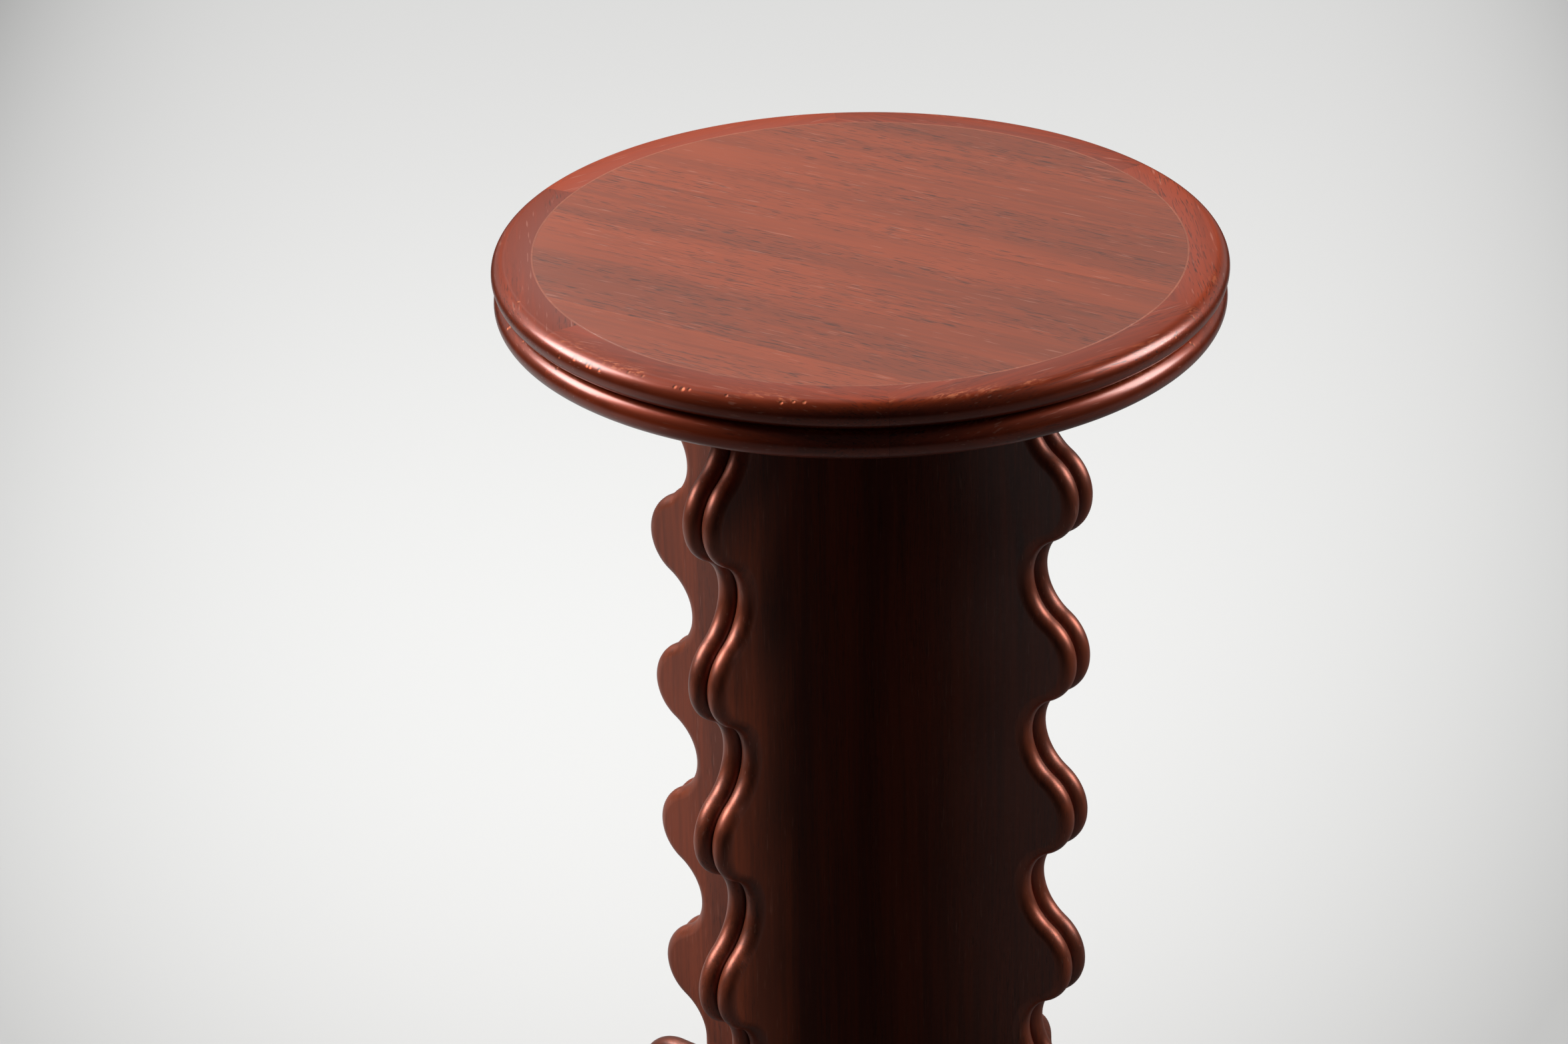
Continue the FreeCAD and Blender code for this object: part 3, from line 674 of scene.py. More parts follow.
@cache
def ring_tool() -> NodeTool:
    """Build the tree that sets copies of a piece round the table's axis, each turned with its place.

    Returns:
        The tool.
    """
    inputs = {"Count": "Int", "Reach": "Float", "Phase": "Float", "Finish": "Material"}
    tool = NodeTool("set_round_axis", inputs)
    bench, given = tool.bench, tool.given
    places = bench.add("GeometryNodeMeshCircle", {"Vertices": given["Count"], "Radius": given["Reach"]})
    step = bench.math("DIVIDE", math.tau, given["Count"])
    turn = bench.times(bench.add("GeometryNodeInputIndex").outputs[0], step)
    spin, phase = (
        bench.add("FunctionNodeEulerToRotation",
                  {0: bench.add("ShaderNodeCombineXYZ", {"Z": angle}).outputs[0]}).outputs[0]
        for angle in (turn, given["Phase"])
    )
    copies = bench.add("GeometryNodeInstanceOnPoints", {
        "Points": places.outputs[0], "Instance": given["Geometry"], "Rotation": spin,
    })
    placed = bench.add("GeometryNodeTransform", {"Geometry": copies.outputs[0], "Rotation": phase})
    tool.close(placed.outputs[0])
    return tool


def run_moulding(name: str, line: Sequence[Vector], section: Outline, traits: Traits, finish: Material,
                 closed_line: bool = False, closed_section: bool = False) -> Mesh:
    """Run a section along a level line.

    Args:
        name: Name of the mesh.
        line: The line's corners, with the outside to its right.
        section: The section's corners, outward and downward from the line.
        traits: Names with a value for each corner of the section, which the moulding keeps as attributes.
        finish: The material.
        closed_line: Whether the line is a ring.
        closed_section: Whether the section is a closed outline, whose ends are then filled.

    Returns:
        The moulding.
    """
    drawing = wire_mesh(f"{name}_section", [(across, down, 0.0) for across, down in section], closed_section)
    for label, values in traits.items():
        drawing.attributes.new(label, "FLOAT", "POINT").data.foreach_set("value", values)
    drawn = new_object(f"{name}_section", drawing)
    mesh = moulding_tool().run(wire_mesh(name, line, closed_line), {
        "Section": drawn, "Close Ends": closed_section and not closed_line, "Weld": WELD, "Finish": finish,
    })
    bpy.data.objects.remove(drawn)
    return mesh


def arc(centre: Point, radius: float, start: float, end: float, step: float) -> Outline:
    """List points on an arc.

    Args:
        centre: Its centre.
        radius: Its radius.
        start: Its first angle in degrees.
        end: Its last angle.
        step: The longest chord.

    Returns:
        The points, both ends included.
    """
    count = max(2, math.ceil(abs(math.radians(end - start)) * radius / step))
    angles = [math.radians(start + (end - start) * index / count) for index in range(count + 1)]
    return [(centre[0] + radius * math.cos(angle), centre[1] + radius * math.sin(angle)) for angle in angles]


def chain(*runs: Outline) -> Outline:
    """Join runs of points end to end, without the doubled ends."""
    return [*runs[0], *(point for run in runs[1:] for point in run[1:])]


def loft(rings: Sequence[Sequence[Vector]]) -> BMesh:
    """Build a closed solid from stacked rings of equal length.

    Args:
        rings: The rings from bottom to top, each anticlockwise from above.

    Returns:
        The solid.
    """
    solid = bmesh.new()
    rows = [[solid.verts.new(point) for point in ring] for ring in rings]
    count = len(rows[0])
    solid.faces.new(list(reversed(rows[0])))
    solid.faces.new(rows[-1])
    for low, high in zip(rows, rows[1:]):
        for index in range(count):
            after = (index + 1) % count
            solid.faces.new((low[index], low[after], high[after], high[index]))
    return solid


def lathe(profile: Outline, steps: int) -> BMesh:
    """Turn a profile, given from bottom to top by radius and height, round the Z axis."""
    turns = [math.tau * index / steps for index in range(steps)]
    return loft([[polar(radius, turn, height) for turn in turns] for radius, height in profile])


def to_mesh(solid: BMesh, name: str) -> Mesh:
    """Weld a solid, point its faces outwards and make it a mesh.

    Args:
        solid: The solid, which is used up.
        name: Name of the mesh.

    Returns:
        The mesh, smooth except at its sharp edges.
    """
    bmesh.ops.remove_doubles(solid, verts=solid.verts, dist=WELD)
    bmesh.ops.recalc_face_normals(solid, faces=solid.faces)
    mesh = bpy.data.meshes.new(name)
    solid.to_mesh(mesh)
    solid.free()
    return smooth(mesh)


def welded(mesh: Mesh, name: str) -> Mesh:
    """Weld a mesh, point its faces outwards and shade it.

    Args:
        mesh: The mesh.
        name: Name of the new mesh.

    Returns:
        The mesh, smooth except at its sharp edges.
    """
    solid = bmesh.new()
    solid.from_mesh(mesh)
    return to_mesh(solid, name)


def smooth(mesh: Mesh) -> Mesh:
    """Shade a mesh smooth except at its sharp edges, with flat faces kept flat.

    Args:
        mesh: The mesh, which is used up.

    Returns:
        The shaded mesh.
    """
    mesh.shade_smooth()
    mesh.set_sharp_from_angle(angle=SHARP_ANGLE)
    piece = new_object(f"{mesh.name}_shading", mesh)
    modifier = piece.modifiers.new("even_normals", "WEIGHTED_NORMAL")
    modifier.keep_sharp = True
    return plain_mesh(piece, mesh.name)


@dataclass(frozen=True)
class GrainLay:
    """How a board lies in its piece: the way of the grain, the way across it, and where it was sawn."""

    along: Vector
    across: Vector
    sawn: Triple
    tone: float = 0.0

    def write(self, mesh: Mesh) -> None:
        """Write the grain and tone to each vertex.

        Args:
            mesh: The mesh of the piece.
        """
        ways = list(zip((self.along, self.across, self.along.cross(self.across)), self.sawn))
        grain = [vertex.co.dot(way) + start for vertex in mesh.vertices for way, start in ways]
        mesh.attributes.new("grain", "FLOAT_VECTOR", "POINT").data.foreach_set("vector", grain)
        tone = mesh.attributes.new("tone", "FLOAT", "POINT")
        tone.data.foreach_set("value", [self.tone] * len(mesh.vertices))


def seat(mesh: Mesh, finish: Material, slot: str, *nodes: str) -> None:
    """Put a finished mesh in the place of its sub-parts.

    Args:
        mesh: The finished mesh, in its place.
        finish: Its material.
        slot: The record's material slot, which is not used.
        nodes: The sub-parts that it stands for.
    """
    mesh.materials.clear()
    mesh.materials.append(finish)
    piece = new_object(f"{nodes[0]}_finished", mesh)
    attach(piece, BODY)
    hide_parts(*nodes)
    LOG.info("%s: %d faces, %s", piece.name, len(mesh.polygons), finish.name)


# The top

@dataclass
class Rim:
    """The six curved segments of the top's edge, with their double bead."""

    finish: Material
    top: float = 560 * MM
    radius: float = 160 * MM
    thickness: float = 27 * MM
    width: float = 18 * MM
    groove: float = 0.4 * MM
    groove_depth: float = 2.5 * MM
    segments: int = 6
    turn: float = 10.6
    step: float = 1.2 * MM
    bead_steps: int = 28
    rubbed_lift: float = 74
    rub_narrowness: int = 14
    shoulder_dullness: int = 5
    saw_steps: Triple = (1.7, 0.31, 0.13)
    tones: tuple[float, ...] = (0.0, -0.25, 0.15, -0.6, 0.35, -0.3)

    def __post_init__(self) -> None:
        """Work out the line that the section runs along."""
        self.inner = self.radius - self.width
        self.line_radius = self.radius - self.width / 2
        self.line_height = self.top - self.thickness / 2

    def section(self) -> tuple[Outline, Traits]:
        """Draw the section.

        Returns:
            Its corners from the rim's line, outward and downward, and how far each is rubbed and gleams.
        """
        shelf, lip = self.top - self.groove_depth, self.inner + self.groove
        corners = [(lip, self.top)]
        plain = [(self.inner, self.top - self.thickness), (self.inner, shelf), (lip, shelf)]
        rub, gleam = [0.0], [0.0]
        for bead in Bead:
            radius, middle, level = bead.value
            for across, height in arc((middle, level), radius, 90, -90, math.pi * radius / self.bead_steps):
                corners.append((across, height))
                lift = math.atan2(height - level, across - middle)
                rub.append(max(0.0, math.cos(lift - math.radians(self.rubbed_lift))) ** self.rub_narrowness)
                gleam.append(1 - max(0.0, math.sin(lift)) ** self.shoulder_dullness)
        corners += plain
        section = [(across - self.line_radius, self.line_height - height) for across, height in corners]
        rest = [0.0] * len(plain)
        return section, {"rub": rub + rest, "gleam": gleam + rest}

    def turn_at(self, place: float) -> float:
        """Give the turn at a place, counted in segments."""
        return math.radians(self.turn + 360 / self.segments * place)

    def line(self, index: int) -> list[Vector]:
        """List the corners of a segment's line.

        Args:
            index: Number of the segment.

        Returns:
            The corners, anticlockwise.
        """
        start, sweep = self.turn_at(index), math.tau / self.segments
        count = round(sweep * self.radius / self.step)
        turns = [start + sweep * place / count for place in range(count + 1)]
        return [polar(self.line_radius, turn, self.line_height) for turn in turns]

    def build(self) -> None:
        """Build and seat the segments."""
        section, traits = self.section()
        for index in range(self.segments):
            node = f"rim_segment_{index + 1}"
            run = run_moulding(node, self.line(index), section, traits, self.finish, closed_section=True)
            mesh = welded(run, node)
            middle = self.turn_at(index + 0.5)
            sawn = tuple(step * index for step in self.saw_steps)
            GrainLay(polar(1, middle + QUARTER), polar(1, middle), sawn, self.tones[index]).write(mesh)
            seat(mesh, self.finish, "mahogany_rim", node)


@dataclass
class Field:
    """The three boards inside the rim, and the pale line let in over their joint with it."""

    finish: Material
    line_finish: Material
    top: float = 560 * MM
    thickness: float = 27 * MM
    radius: float = 142 * MM
    line_width: float = 0.8 * MM
    line_depth: float = 2.5 * MM
    line_step: float = 1.5 * MM
    line_sawn: Triple = (3.1, 0.2, 0.4)
    board_turn: float = math.radians(6.6)
    joints: Point = (-110 * MM, 16 * MM)
    edge: float = 0.04 * MM
    arc_steps: int = 90
    saw_steps: Triple = (1.3, 0.4, 0.0)
    tones: Triple = (0.1, -0.15, 0.0)

    def outline(self, radius: float, low: float, high: float, height: float) -> list[Vector]:
        """Draw the edge of a board.

        Args:
            radius: Radius of the field.
            low: Joint at the board's front, beyond the radius where it has none.
            high: Joint at its back, likewise.
            height: Height of the ring.

        Returns:
            The corners, anticlockwise.
        """
        first = math.asin(max(-1.0, low / radius))
        last = math.asin(min(1.0, high / radius))
        rises = [first + (last - first) * step / self.arc_steps for step in range(self.arc_steps + 1)]
        turns = rises + [math.pi - rise for rise in reversed(rises)]
        if high >= radius:
            turns.pop(self.arc_steps + 1)
        if low <= -radius:
            turns.pop()
        return [polar(radius, turn + self.board_turn, height) for turn in turns]

    def build_boards(self) -> None:
        """Build and seat the boards."""
        limits = [-2 * self.radius, *self.joints, 2 * self.radius]
        upper = self.radius - self.line_width / 2
        shelf = self.top - self.line_depth
        along, across = polar(1, self.board_turn), polar(1, self.board_turn + QUARTER)
        for index, name in enumerate(("front", "middle", "back")):
            low, high = limits[index], limits[index + 1]
            solid = loft([
                self.outline(self.radius, low, high, self.top - self.thickness),
                self.outline(self.radius, low, high, shelf),
                self.outline(upper, low, high, shelf),
                self.outline(upper, low, high, self.top - self.edge),
                self.outline(upper - self.edge, low + self.edge, high - self.edge, self.top),
            ])
            mesh = to_mesh(solid, f"top_board_{name}")
            sawn = tuple(step * index for step in self.saw_steps)
            GrainLay(along, across, sawn, self.tones[index]).write(mesh)
            seat(mesh, self.finish, "mahogany_field", f"top_board_{name}")

    def build_line(self) -> None:
        """Build and seat the pale line."""
        half, depth = self.line_width / 2, self.line_depth / 2
        section = [(-half, -depth), (half, -depth), (half, depth), (-half, depth)]
        ring = arc((0.0, 0.0), self.radius, 0, 360, self.line_step)[:-1]
        line = [Vector((across, along, self.top - depth)) for across, along in ring]
        run = run_moulding("stringing_ring", line, section, {}, self.line_finish, True, True)
        mesh = welded(run, "stringing_ring")
        GrainLay(Vector((1, 0, 0)), Vector((0, 1, 0)), self.line_sawn).write(mesh)
        seat(mesh, self.line_finish, "stringing", "stringing_ring")


# The column and feet

@dataclass
class BeadedBoard:
    """What fins and feet share: a board's thickness and the double bead along its outer edge."""

    finish: Material
    thickness: float = 21 * MM
    bead_steps: int = 14
    step: float = 1.2 * MM
    rub: float = 0.25
    crease_shade_spread: float = 1.5

    @property
    def half(self) -> float:
        """Half the board's thickness."""
        return self.thickness / 2

    @property
    def bead(self) -> float:
        """Radius of each of the two half rounds."""
        return self.thickness / 4

    def section(self) -> tuple[Outline, Traits]:
        """Draw the double bead.

        Returns:
            Its corners, outward and across the board, and how far each is rubbed, gleams and takes painted
            crease shade.
        """
        step = math.pi * self.bead / self.bead_steps
        corners = chain(*(arc((0.0, middle), self.bead, -90, 90, step) for middle in (-self.bead, self.bead)))
        stand = [max(0.0, across / self.bead) for across, _ in corners]
        # Painted shade: the inner halves darken towards the crease, where shade falls between the half
        # rounds.
        crease = [1 - share if abs(aside) < self.bead else 0.0 for share, (_, aside) in zip(stand, corners)]
        return corners, {
            "rub": [self.rub * share for share in stand],
            "gleam": [math.sqrt(share) for share in stand],
            "grime": [depth ** self.crease_shade_spread for depth in crease],
        }

    def edged(self, name: str, *lines: Outline) -> BMesh:
        """Start a board with the bead along its edges.

        Args:
            name: Name of the piece.
            lines: The lines of its beads, each with the outside to its right.

        Returns:
            The beads, lying flat.
        """
        section, traits = self.section()
        solid = bmesh.new()
        for line in lines:
            level = [Vector((*point, 0.0)) for point in line]
            solid.from_mesh(run_moulding(name, level, section, traits, self.finish))
        return solid

    def panel(self, solid: BMesh, corners: Sequence[Triple]) -> None:
        """Add a flat face."""
        solid.faces.new([solid.verts.new(corner) for corner in corners])

    def face(self, solid: BMesh, outline: Outline, level: float) -> None:
        """Add a flat face of the lying board at a level."""
        self.panel(solid, [(across, up, level) for across, up in outline])

    def wall(self, solid: BMesh, start: Point, end: Point, creased: Sequence[Point] = ()) -> None:
        """Add a plain edge of the lying board.

        Args:
            solid: The board.
            start: Where the edge starts.
            end: Where it ends.
            creased: Those of the two that lie at the end of a double bead, whose crease meets the wall.
        """
        corners = []
        for point, levels in ((start, (-self.half, 0.0, self.half)), (end, (self.half, 0.0, -self.half))):
            corners += [(*point, level) for level in levels if level or point in creased]
        self.panel(solid, corners)

    def cap(self, solid: BMesh, end: Point, outward: float = 1.0) -> None:
        """Close the two half rounds of a bead that ends level.

        Args:
            solid: The board.
            end: The end of the bead's line.
            outward: 1 where the bead stands out along the drawing's X, -1 against it.
        """
        section, _ = self.section()
        for half in (section[:self.bead_steps + 1], section[self.bead_steps:]):
            self.panel(solid, [(end[0] + outward * across, end[1], aside) for across, aside in half])

    def seat(self, solid: BMesh, node: str, lay: GrainLay, side: Side) -> None:
        """Lay the grain of a lying board, stand it up on its side of the table and seat it.

        Args:
            solid: The board, which is used up.
            node: The sub-part that it stands for.
            lay: The lay of its grain.
            side: The way it points.
        """
        mesh = to_mesh(solid, node)
        lay.write(mesh)
        mesh.transform(Matrix.Rotation(math.radians(side.value), 4, "Z") @ Matrix.Rotation(QUARTER, 4, "X"))
        seat(mesh, self.finish, "mahogany_column", node)


@dataclass
class Column(BeadedBoard):
    """The cross of fins: one board through and two housed in its faces, all with a scalloped edge."""

    underside: float = 533 * MM
    foot_height: float = 113.5 * MM
    bottom: float = 28 * MM
    lobe_reach: float = 118 * MM
    scallop: float = 23 * MM
    pitch: float = 79 * MM
    edge_cover: float = 7.75 * MM
    housing: float = 4 * MM
    lead: float = 0.2 * MM
    through_sawn: Triple = (0.2, 0.1, 0.0)
    through_tone: float = -0.05
    wing_sawn: Triple = (0.7, 0.3, 0.2)
    wing_tone: float = 0.05

    def __post_init__(self) -> None:
        """Work out the arcs of the wave."""
        half_pitch = self.pitch / 2
        self.wave = (half_pitch ** 2 + self.scallop ** 2) / (4 * self.scallop)
        self.neck = self.lobe_reach - self.scallop
        self.neck_line = self.neck - self.bead
        self.board_edge = self.neck_line - self.edge_cover
        self.shelf = self.half - self.housing
        self.tilt = math.degrees(math.atan2(half_pitch, 2 * self.wave - self.scallop))

    def edge_line(self) -> Outline:
        """List the line of the scalloped bead, from the lowest neck to the crest above the underside.

        Returns:
            The corners, with the outside to their right.
        """
        height = self.foot_height
        hollow, swell = self.wave + self.bead, self.wave - self.bead
        runs = [[(self.neck_line, height), (self.neck_line, height + self.lead)]]
        while True:
            crest = height + self.pitch / 2
            lower = (self.neck + self.wave, height)
            upper = (self.neck + self.wave, height + self.pitch)
            middle = (self.lobe_reach - self.wave, crest)
            runs.append(arc(lower, hollow, 180, 180 - self.tilt, self.step))
            if crest > self.underside:
                runs.append(arc(middle, swell, -self.tilt, 0, self.step))
                return chain(*runs)
            runs.append(arc(middle, swell, -self.tilt, self.tilt, self.step))
            runs.append(arc(upper, hollow, 180 + self.tilt, 180, self.step))
            height += self.pitch

    def trim_top(self, solid: BMesh) -> None:
        """Cut a lying fin off level at the underside of the top, and close the cut.

        Args:
            solid: The fin.
        """
        bmesh.ops.remove_doubles(solid, verts=solid.verts, dist=WELD)
        geometry = [*solid.verts, *solid.edges, *solid.faces]
        cut = bmesh.ops.bisect_plane(solid, geom=geometry, dist=WELD / 10, plane_co=(0, self.underside, 0),
                                     plane_no=(0, 1, 0), clear_outer=True)
        edges = [item for item in cut["geom_cut"] if isinstance(item, BMEdge)]
        bmesh.ops.contextual_create(solid, geom=edges)

    def upright(self, sawn: Triple, tone: float) -> GrainLay:
        """Lay the grain of a fin along its height."""
        return GrainLay(Vector((0, 1, 0)), Vector((1, 0, 0)), sawn, tone)

    def build_through(self) -> None:
        """Build and seat the board that gives the right and left fins."""
        right = self.edge_line()
        left = [(-across, up) for across, up in reversed(right)]
        solid = self.edged("through_fin", right, left)
        half, shelf, floor, edge = self.half, self.shelf, self.bottom, self.board_edge
        crest = right[-1][1]
        half_face = [(half, floor), (edge, floor), (edge, self.foot_height), *right, (half, crest)]
        for level, recess in ((half, shelf), (-half, -shelf)):
            for way in (1, -1):
                self.face(solid, [(way * across, up) for across, up in half_face], level)
                self.panel(solid, [(way * half, floor, level), (way * half, floor, recess),
                                   (way * half, crest, recess), (way * half, crest, level)])
            self.face(solid, [(-half, floor), (half, floor), (half, crest), (-half, crest)], recess)
        for way in (1, -1):
            corner, neck = (way * edge, self.foot_height), (way * self.neck_line, self.foot_height)
            self.wall(solid, (way * edge, floor), corner)
            self.wall(solid, corner, neck, [neck])
            self.cap(solid, neck, way)
        profile = [(-edge, -half), (-half, -half), (-half, -shelf)]
        profile += [(-across, aside) for across, aside in reversed(profile)]
        profile += [(-across, -aside) for across, aside in profile]
        self.panel(solid, [(across, floor, aside) for across, aside in profile])
        self.trim_top(solid)
        self.seat(solid, "through_fin", self.upright(self.through_sawn, self.through_tone), Side.RIGHT)

    def build_wing(self, side: Side) -> None:
        """Build and seat a single fin, with its inner edge in the housing.

        Args:
            side: The way the fin points.
        """
        name = f"wing_fin_{side.name.lower()}"
        line = self.edge_line()
        solid = self.edged(name, line)
        inner, crest = (self.shelf, self.bottom), (self.shelf, line[-1][1])
        heel, corner = (self.board_edge, self.bottom), (self.board_edge, self.foot_height)
        for level in (self.half, -self.half):
            self.face(solid, [inner, heel, corner, *line, crest], level)
        for start, end in ((inner, heel), (heel, corner), (corner, line[0]), (crest, inner)):
            self.wall(solid, start, end, [line[0]])
        self.cap(solid, line[0])
        self.trim_top(solid)
        along, across, through = self.wing_sawn
        self.seat(solid, name, self.upright((along * side.value, across, through), self.wing_tone), side)


@dataclass
class Foot(BeadedBoard):
    """A bracket foot that carries the fin's double bead on round cove, shoulder, knee, ankle and toe."""

    height: float = 113.5 * MM
    sole: float = 3 * MM
    column_bottom: float = 28 * MM
    neck: float = 95 * MM
    board_edge: float = 82 * MM
    neck_run: float = 10.5 * MM
    cove: float = 11 * MM
    shoulder: float = 17 * MM
    knee: float = 22.709 * MM
    ankle: float = 20 * MM
    ankle_sweep: float = 70
    toe: float = 14 * MM
    toe_step: float = 3.6 * MM
    arch_run: float = 32 * MM
    arch_step: float = 2.4 * MM
    grain_slope: float = math.radians(-35)
    sawn: Triple = (0.5, 0.2, 0.1)
    saw_turn: float = 300

    def edge_line(self) -> Outline:
        """List the line of the bead, from the sole up to the neck.

        Returns:
            The corners, with the outside to their right.
        """
        bead = self.bead
        knee_across = self.neck + self.cove + self.shoulder
        cove_height = self.height - self.neck_run
        knee_height = cove_height - self.cove - self.knee
        ankle_across = knee_across + self.knee + self.ankle
        sweep = math.radians(self.ankle_sweep)
        toe_across = ankle_across - (self.ankle + self.toe) * math.cos(sweep)
        toe_height = knee_height - (self.ankle + self.toe) * math.sin(sweep)
        cove = arc((self.neck + self.cove, cove_height), self.cove + bead, 180, 270, self.step)
        knee = arc((knee_across, knee_height), self.knee - bead, 90, 0, self.step)
        ankle = arc((ankle_across, knee_height), self.ankle + bead, 180, 180 + self.ankle_sweep, self.step)
        toe = arc((toe_across, toe_height), self.toe - bead, self.ankle_sweep, 0, self.step)
        rows = math.ceil((toe_height - self.sole) / self.toe_step)
        drop = [(toe[-1][0], toe_height + (self.sole - toe_height) * row / rows) for row in range(rows + 1)]
        straight = [(self.neck - bead, self.height), cove[0]]
        level = [cove[-1], knee[0]]
        return list(reversed(chain(straight, cove, level, knee, ankle, toe, drop)))

    def sole_middle(self) -> float:
        """Give the middle of the sole, from the table's axis."""
        return (self.board_edge + self.arch_run + self.edge_line()[0][0]) / 2

    def build(self, side: Side) -> None:
        """Build and seat a foot.

        Args:
            side: The way the foot points.
        """
        name = f"foot_{side.name.lower()}"
        line = self.edge_line()
        solid = self.edged(name, line)
        rise = self.column_bottom - self.sole
        radius = (self.arch_run ** 2 + rise ** 2) / (2 * rise)
        low = math.degrees(math.atan2(radius - rise, self.arch_run))
        arch = arc((self.board_edge, self.column_bottom - radius), radius, 90, low, self.arch_step)
        upper, lower = (self.board_edge, self.height), (self.board_edge, self.column_bottom)
        for level in (self.half, -self.half):
            self.face(solid, [*line, upper, lower, *arch[1:]], level)
        plain = [line[-1], upper, lower, *arch[1:], line[0]]
        for start, end in zip(plain, plain[1:]):
            self.wall(solid, start, end, [line[0], line[-1]])
        self.cap(solid, line[0])
        self.cap(solid, line[-1])
        along, across, through = self.sawn
        sawn = (along + side.value / self.saw_turn, across, through)
        lay = GrainLay(polar(1, self.grain_slope), polar(1, self.grain_slope + QUARTER), sawn)
        self.seat(solid, name, lay, side)


# The small pieces

@dataclass
class CornerBlocks:
    """The glue blocks in the corners of the column under the top, and the screw through each."""

    finish: Material
    screw_finish: Material
    underside: float = 533 * MM
    half_fin: float = 10.5 * MM
    leg: float = 40 * MM
    nose: float = 6 * MM
    height: float = 36 * MM
    edge: float = 0.6 * MM
    screw_inset: float = 13 * MM
    shank: float = 2 * MM
    length: float = 50 * MM
    point: float = 5 * MM
    tip: float = 0.2 * MM
    head: float = 4.5 * MM
    head_height: float = 3 * MM
    head_edge: float = 0.5 * MM
    dome_lifts: tuple[int, ...] = (6, 18, 30, 42, 54, 66, 78, 90)
    sides: int = 40
    slot_width: float = 1.1 * MM
    slot_depth: float = 1.3 * MM
    count: int = 4

    def outline(self, ease: float, height: float) -> list[Vector]:
        """Draw a block's edge.

        Args:
            ease: How far the edge is drawn in.
            height: Its height.

        Returns:
            The corners, anticlockwise.
        """
        near, far = self.half_fin + ease, self.half_fin + self.leg - ease
        nose = self.half_fin + self.nose - ease / 2
        corners = [(near, near), (far, near), (far, nose), (nose, far), (near, far)]
        return [Vector((*corner, height)) for corner in corners]

    def build_blocks(self) -> None:
        """Build and seat the blocks, with their lower edges eased."""
        low = self.underside - self.height
        rings = [self.outline(self.edge, low), self.outline(0.0, low + self.edge),
                 self.outline(0.0, self.underside)]
        for index in range(self.count):
            node = f"corner_block_{index + 1}"
            mesh = to_mesh(loft(rings), node)
            mesh.transform(Matrix.Rotation(math.tau / self.count * index, 4, "Z"))
            seat(mesh, self.finish, "inner_wood", node)

    def screw(self) -> Mesh:
        """Build one slotted round-head screw on the Z axis, head down.

        Returns:
            The mesh of the screw.
        """
        shoulder = self.underside - self.height
        low, rim, end = shoulder - self.head_height, shoulder - self.head_edge, shoulder + self.length
        lifts = [math.radians(lift) for lift in self.dome_lifts]
        dome = [(self.head * math.sin(lift), rim - (rim - low) * math.cos(lift)) for lift in lifts]
        profile = [*dome, (self.head, rim), (self.head, shoulder), (self.shank, shoulder),
                   (self.shank, end - self.point), (self.tip, end)]
        screw = new_object("screw", to_mesh(lathe(profile, self.sides), "screw"))
        half, reach = self.slot_width / 2, 2 * self.head
        corners = [(-reach, -half), (reach, -half), (reach, half), (-reach, half)]
        slot = loft([[Vector((*corner, height)) for corner in corners]
                     for height in (low - self.slot_depth, low + self.slot_depth)])
        cutter = new_object("slot", to_mesh(slot, "slot"))
        cut = screw.modifiers.new("slot", "BOOLEAN")
        cut.operation = "DIFFERENCE"
        cut.object = cutter
        mesh = plain_mesh(screw, "screw")
        bpy.data.objects.remove(cutter)
        return mesh

    def build_screws(self) -> None:
        """Build and seat the screws."""
        reach = (self.half_fin + self.screw_inset) * math.sqrt(2)
        mesh = ring_tool().run(self.screw(), {"Count": self.count, "Reach": reach, "Phase": QUARTER / 2,
                                              "Finish": self.screw_finish})
        mesh.name = "block_screws"
        seat(smooth(mesh), self.screw_finish, "screw_steel", "block_screws")


@dataclass
class FeltPads:
    """The round felts under the feet."""

    finish: Material
    reach: float
    radius: float = 9 * MM
    thickness: float = 3 * MM
    edge: float = 0.6 * MM
    edge_bow: float = 0.12 * MM
    sides: int = 48
    count: int = 4

    def build(self) -> None:
        """Build and seat the felts."""
        profile = [(self.radius - self.edge, 0.0), (self.radius - self.edge_bow, self.edge_bow),
                   (self.radius, self.edge), (self.radius, self.thickness)]
        pad = to_mesh(lathe(profile, self.sides), "foot_pads")
        mesh = ring_tool().run(pad, {"Count": self.count, "Reach": self.reach, "Phase": 0.0,
                                     "Finish": self.finish})
        mesh.name = "foot_pads"
        seat(smooth(mesh), self.finish, "felt", "foot_pads")


@dataclass
class HiddenJoinery:
    """The dowels and tongues sealed inside the table."""

    finish: Material
    nodes: tuple[str, ...] = ("rim_splines", "wing_dowels", "top_dowels", "foot_dowels")

    def dress(self) -> None:
        """Give the hidden pieces their finish."""
        for node in self.nodes:
            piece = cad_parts[node]
            piece.data.materials.clear()
            piece.data.materials.append(self.finish)
            LOG.info("%s: as made, %s", node, self.finish.name)


# The studio

@dataclass(frozen=True)
class Panel:
    """A soft light panel: its place to the camera's right, away and up, its size, and its power in watts."""

    name: str
    place: Triple
    size: Point
    power: float


@dataclass(frozen=True)
class FloorLightPatch:
    """A patch of painted light on the floor, pale and glowing to reflections and bounce light: its way right
    and away, share, start and full.
    """

    way: Point
    share: float
    start: float
    full: float


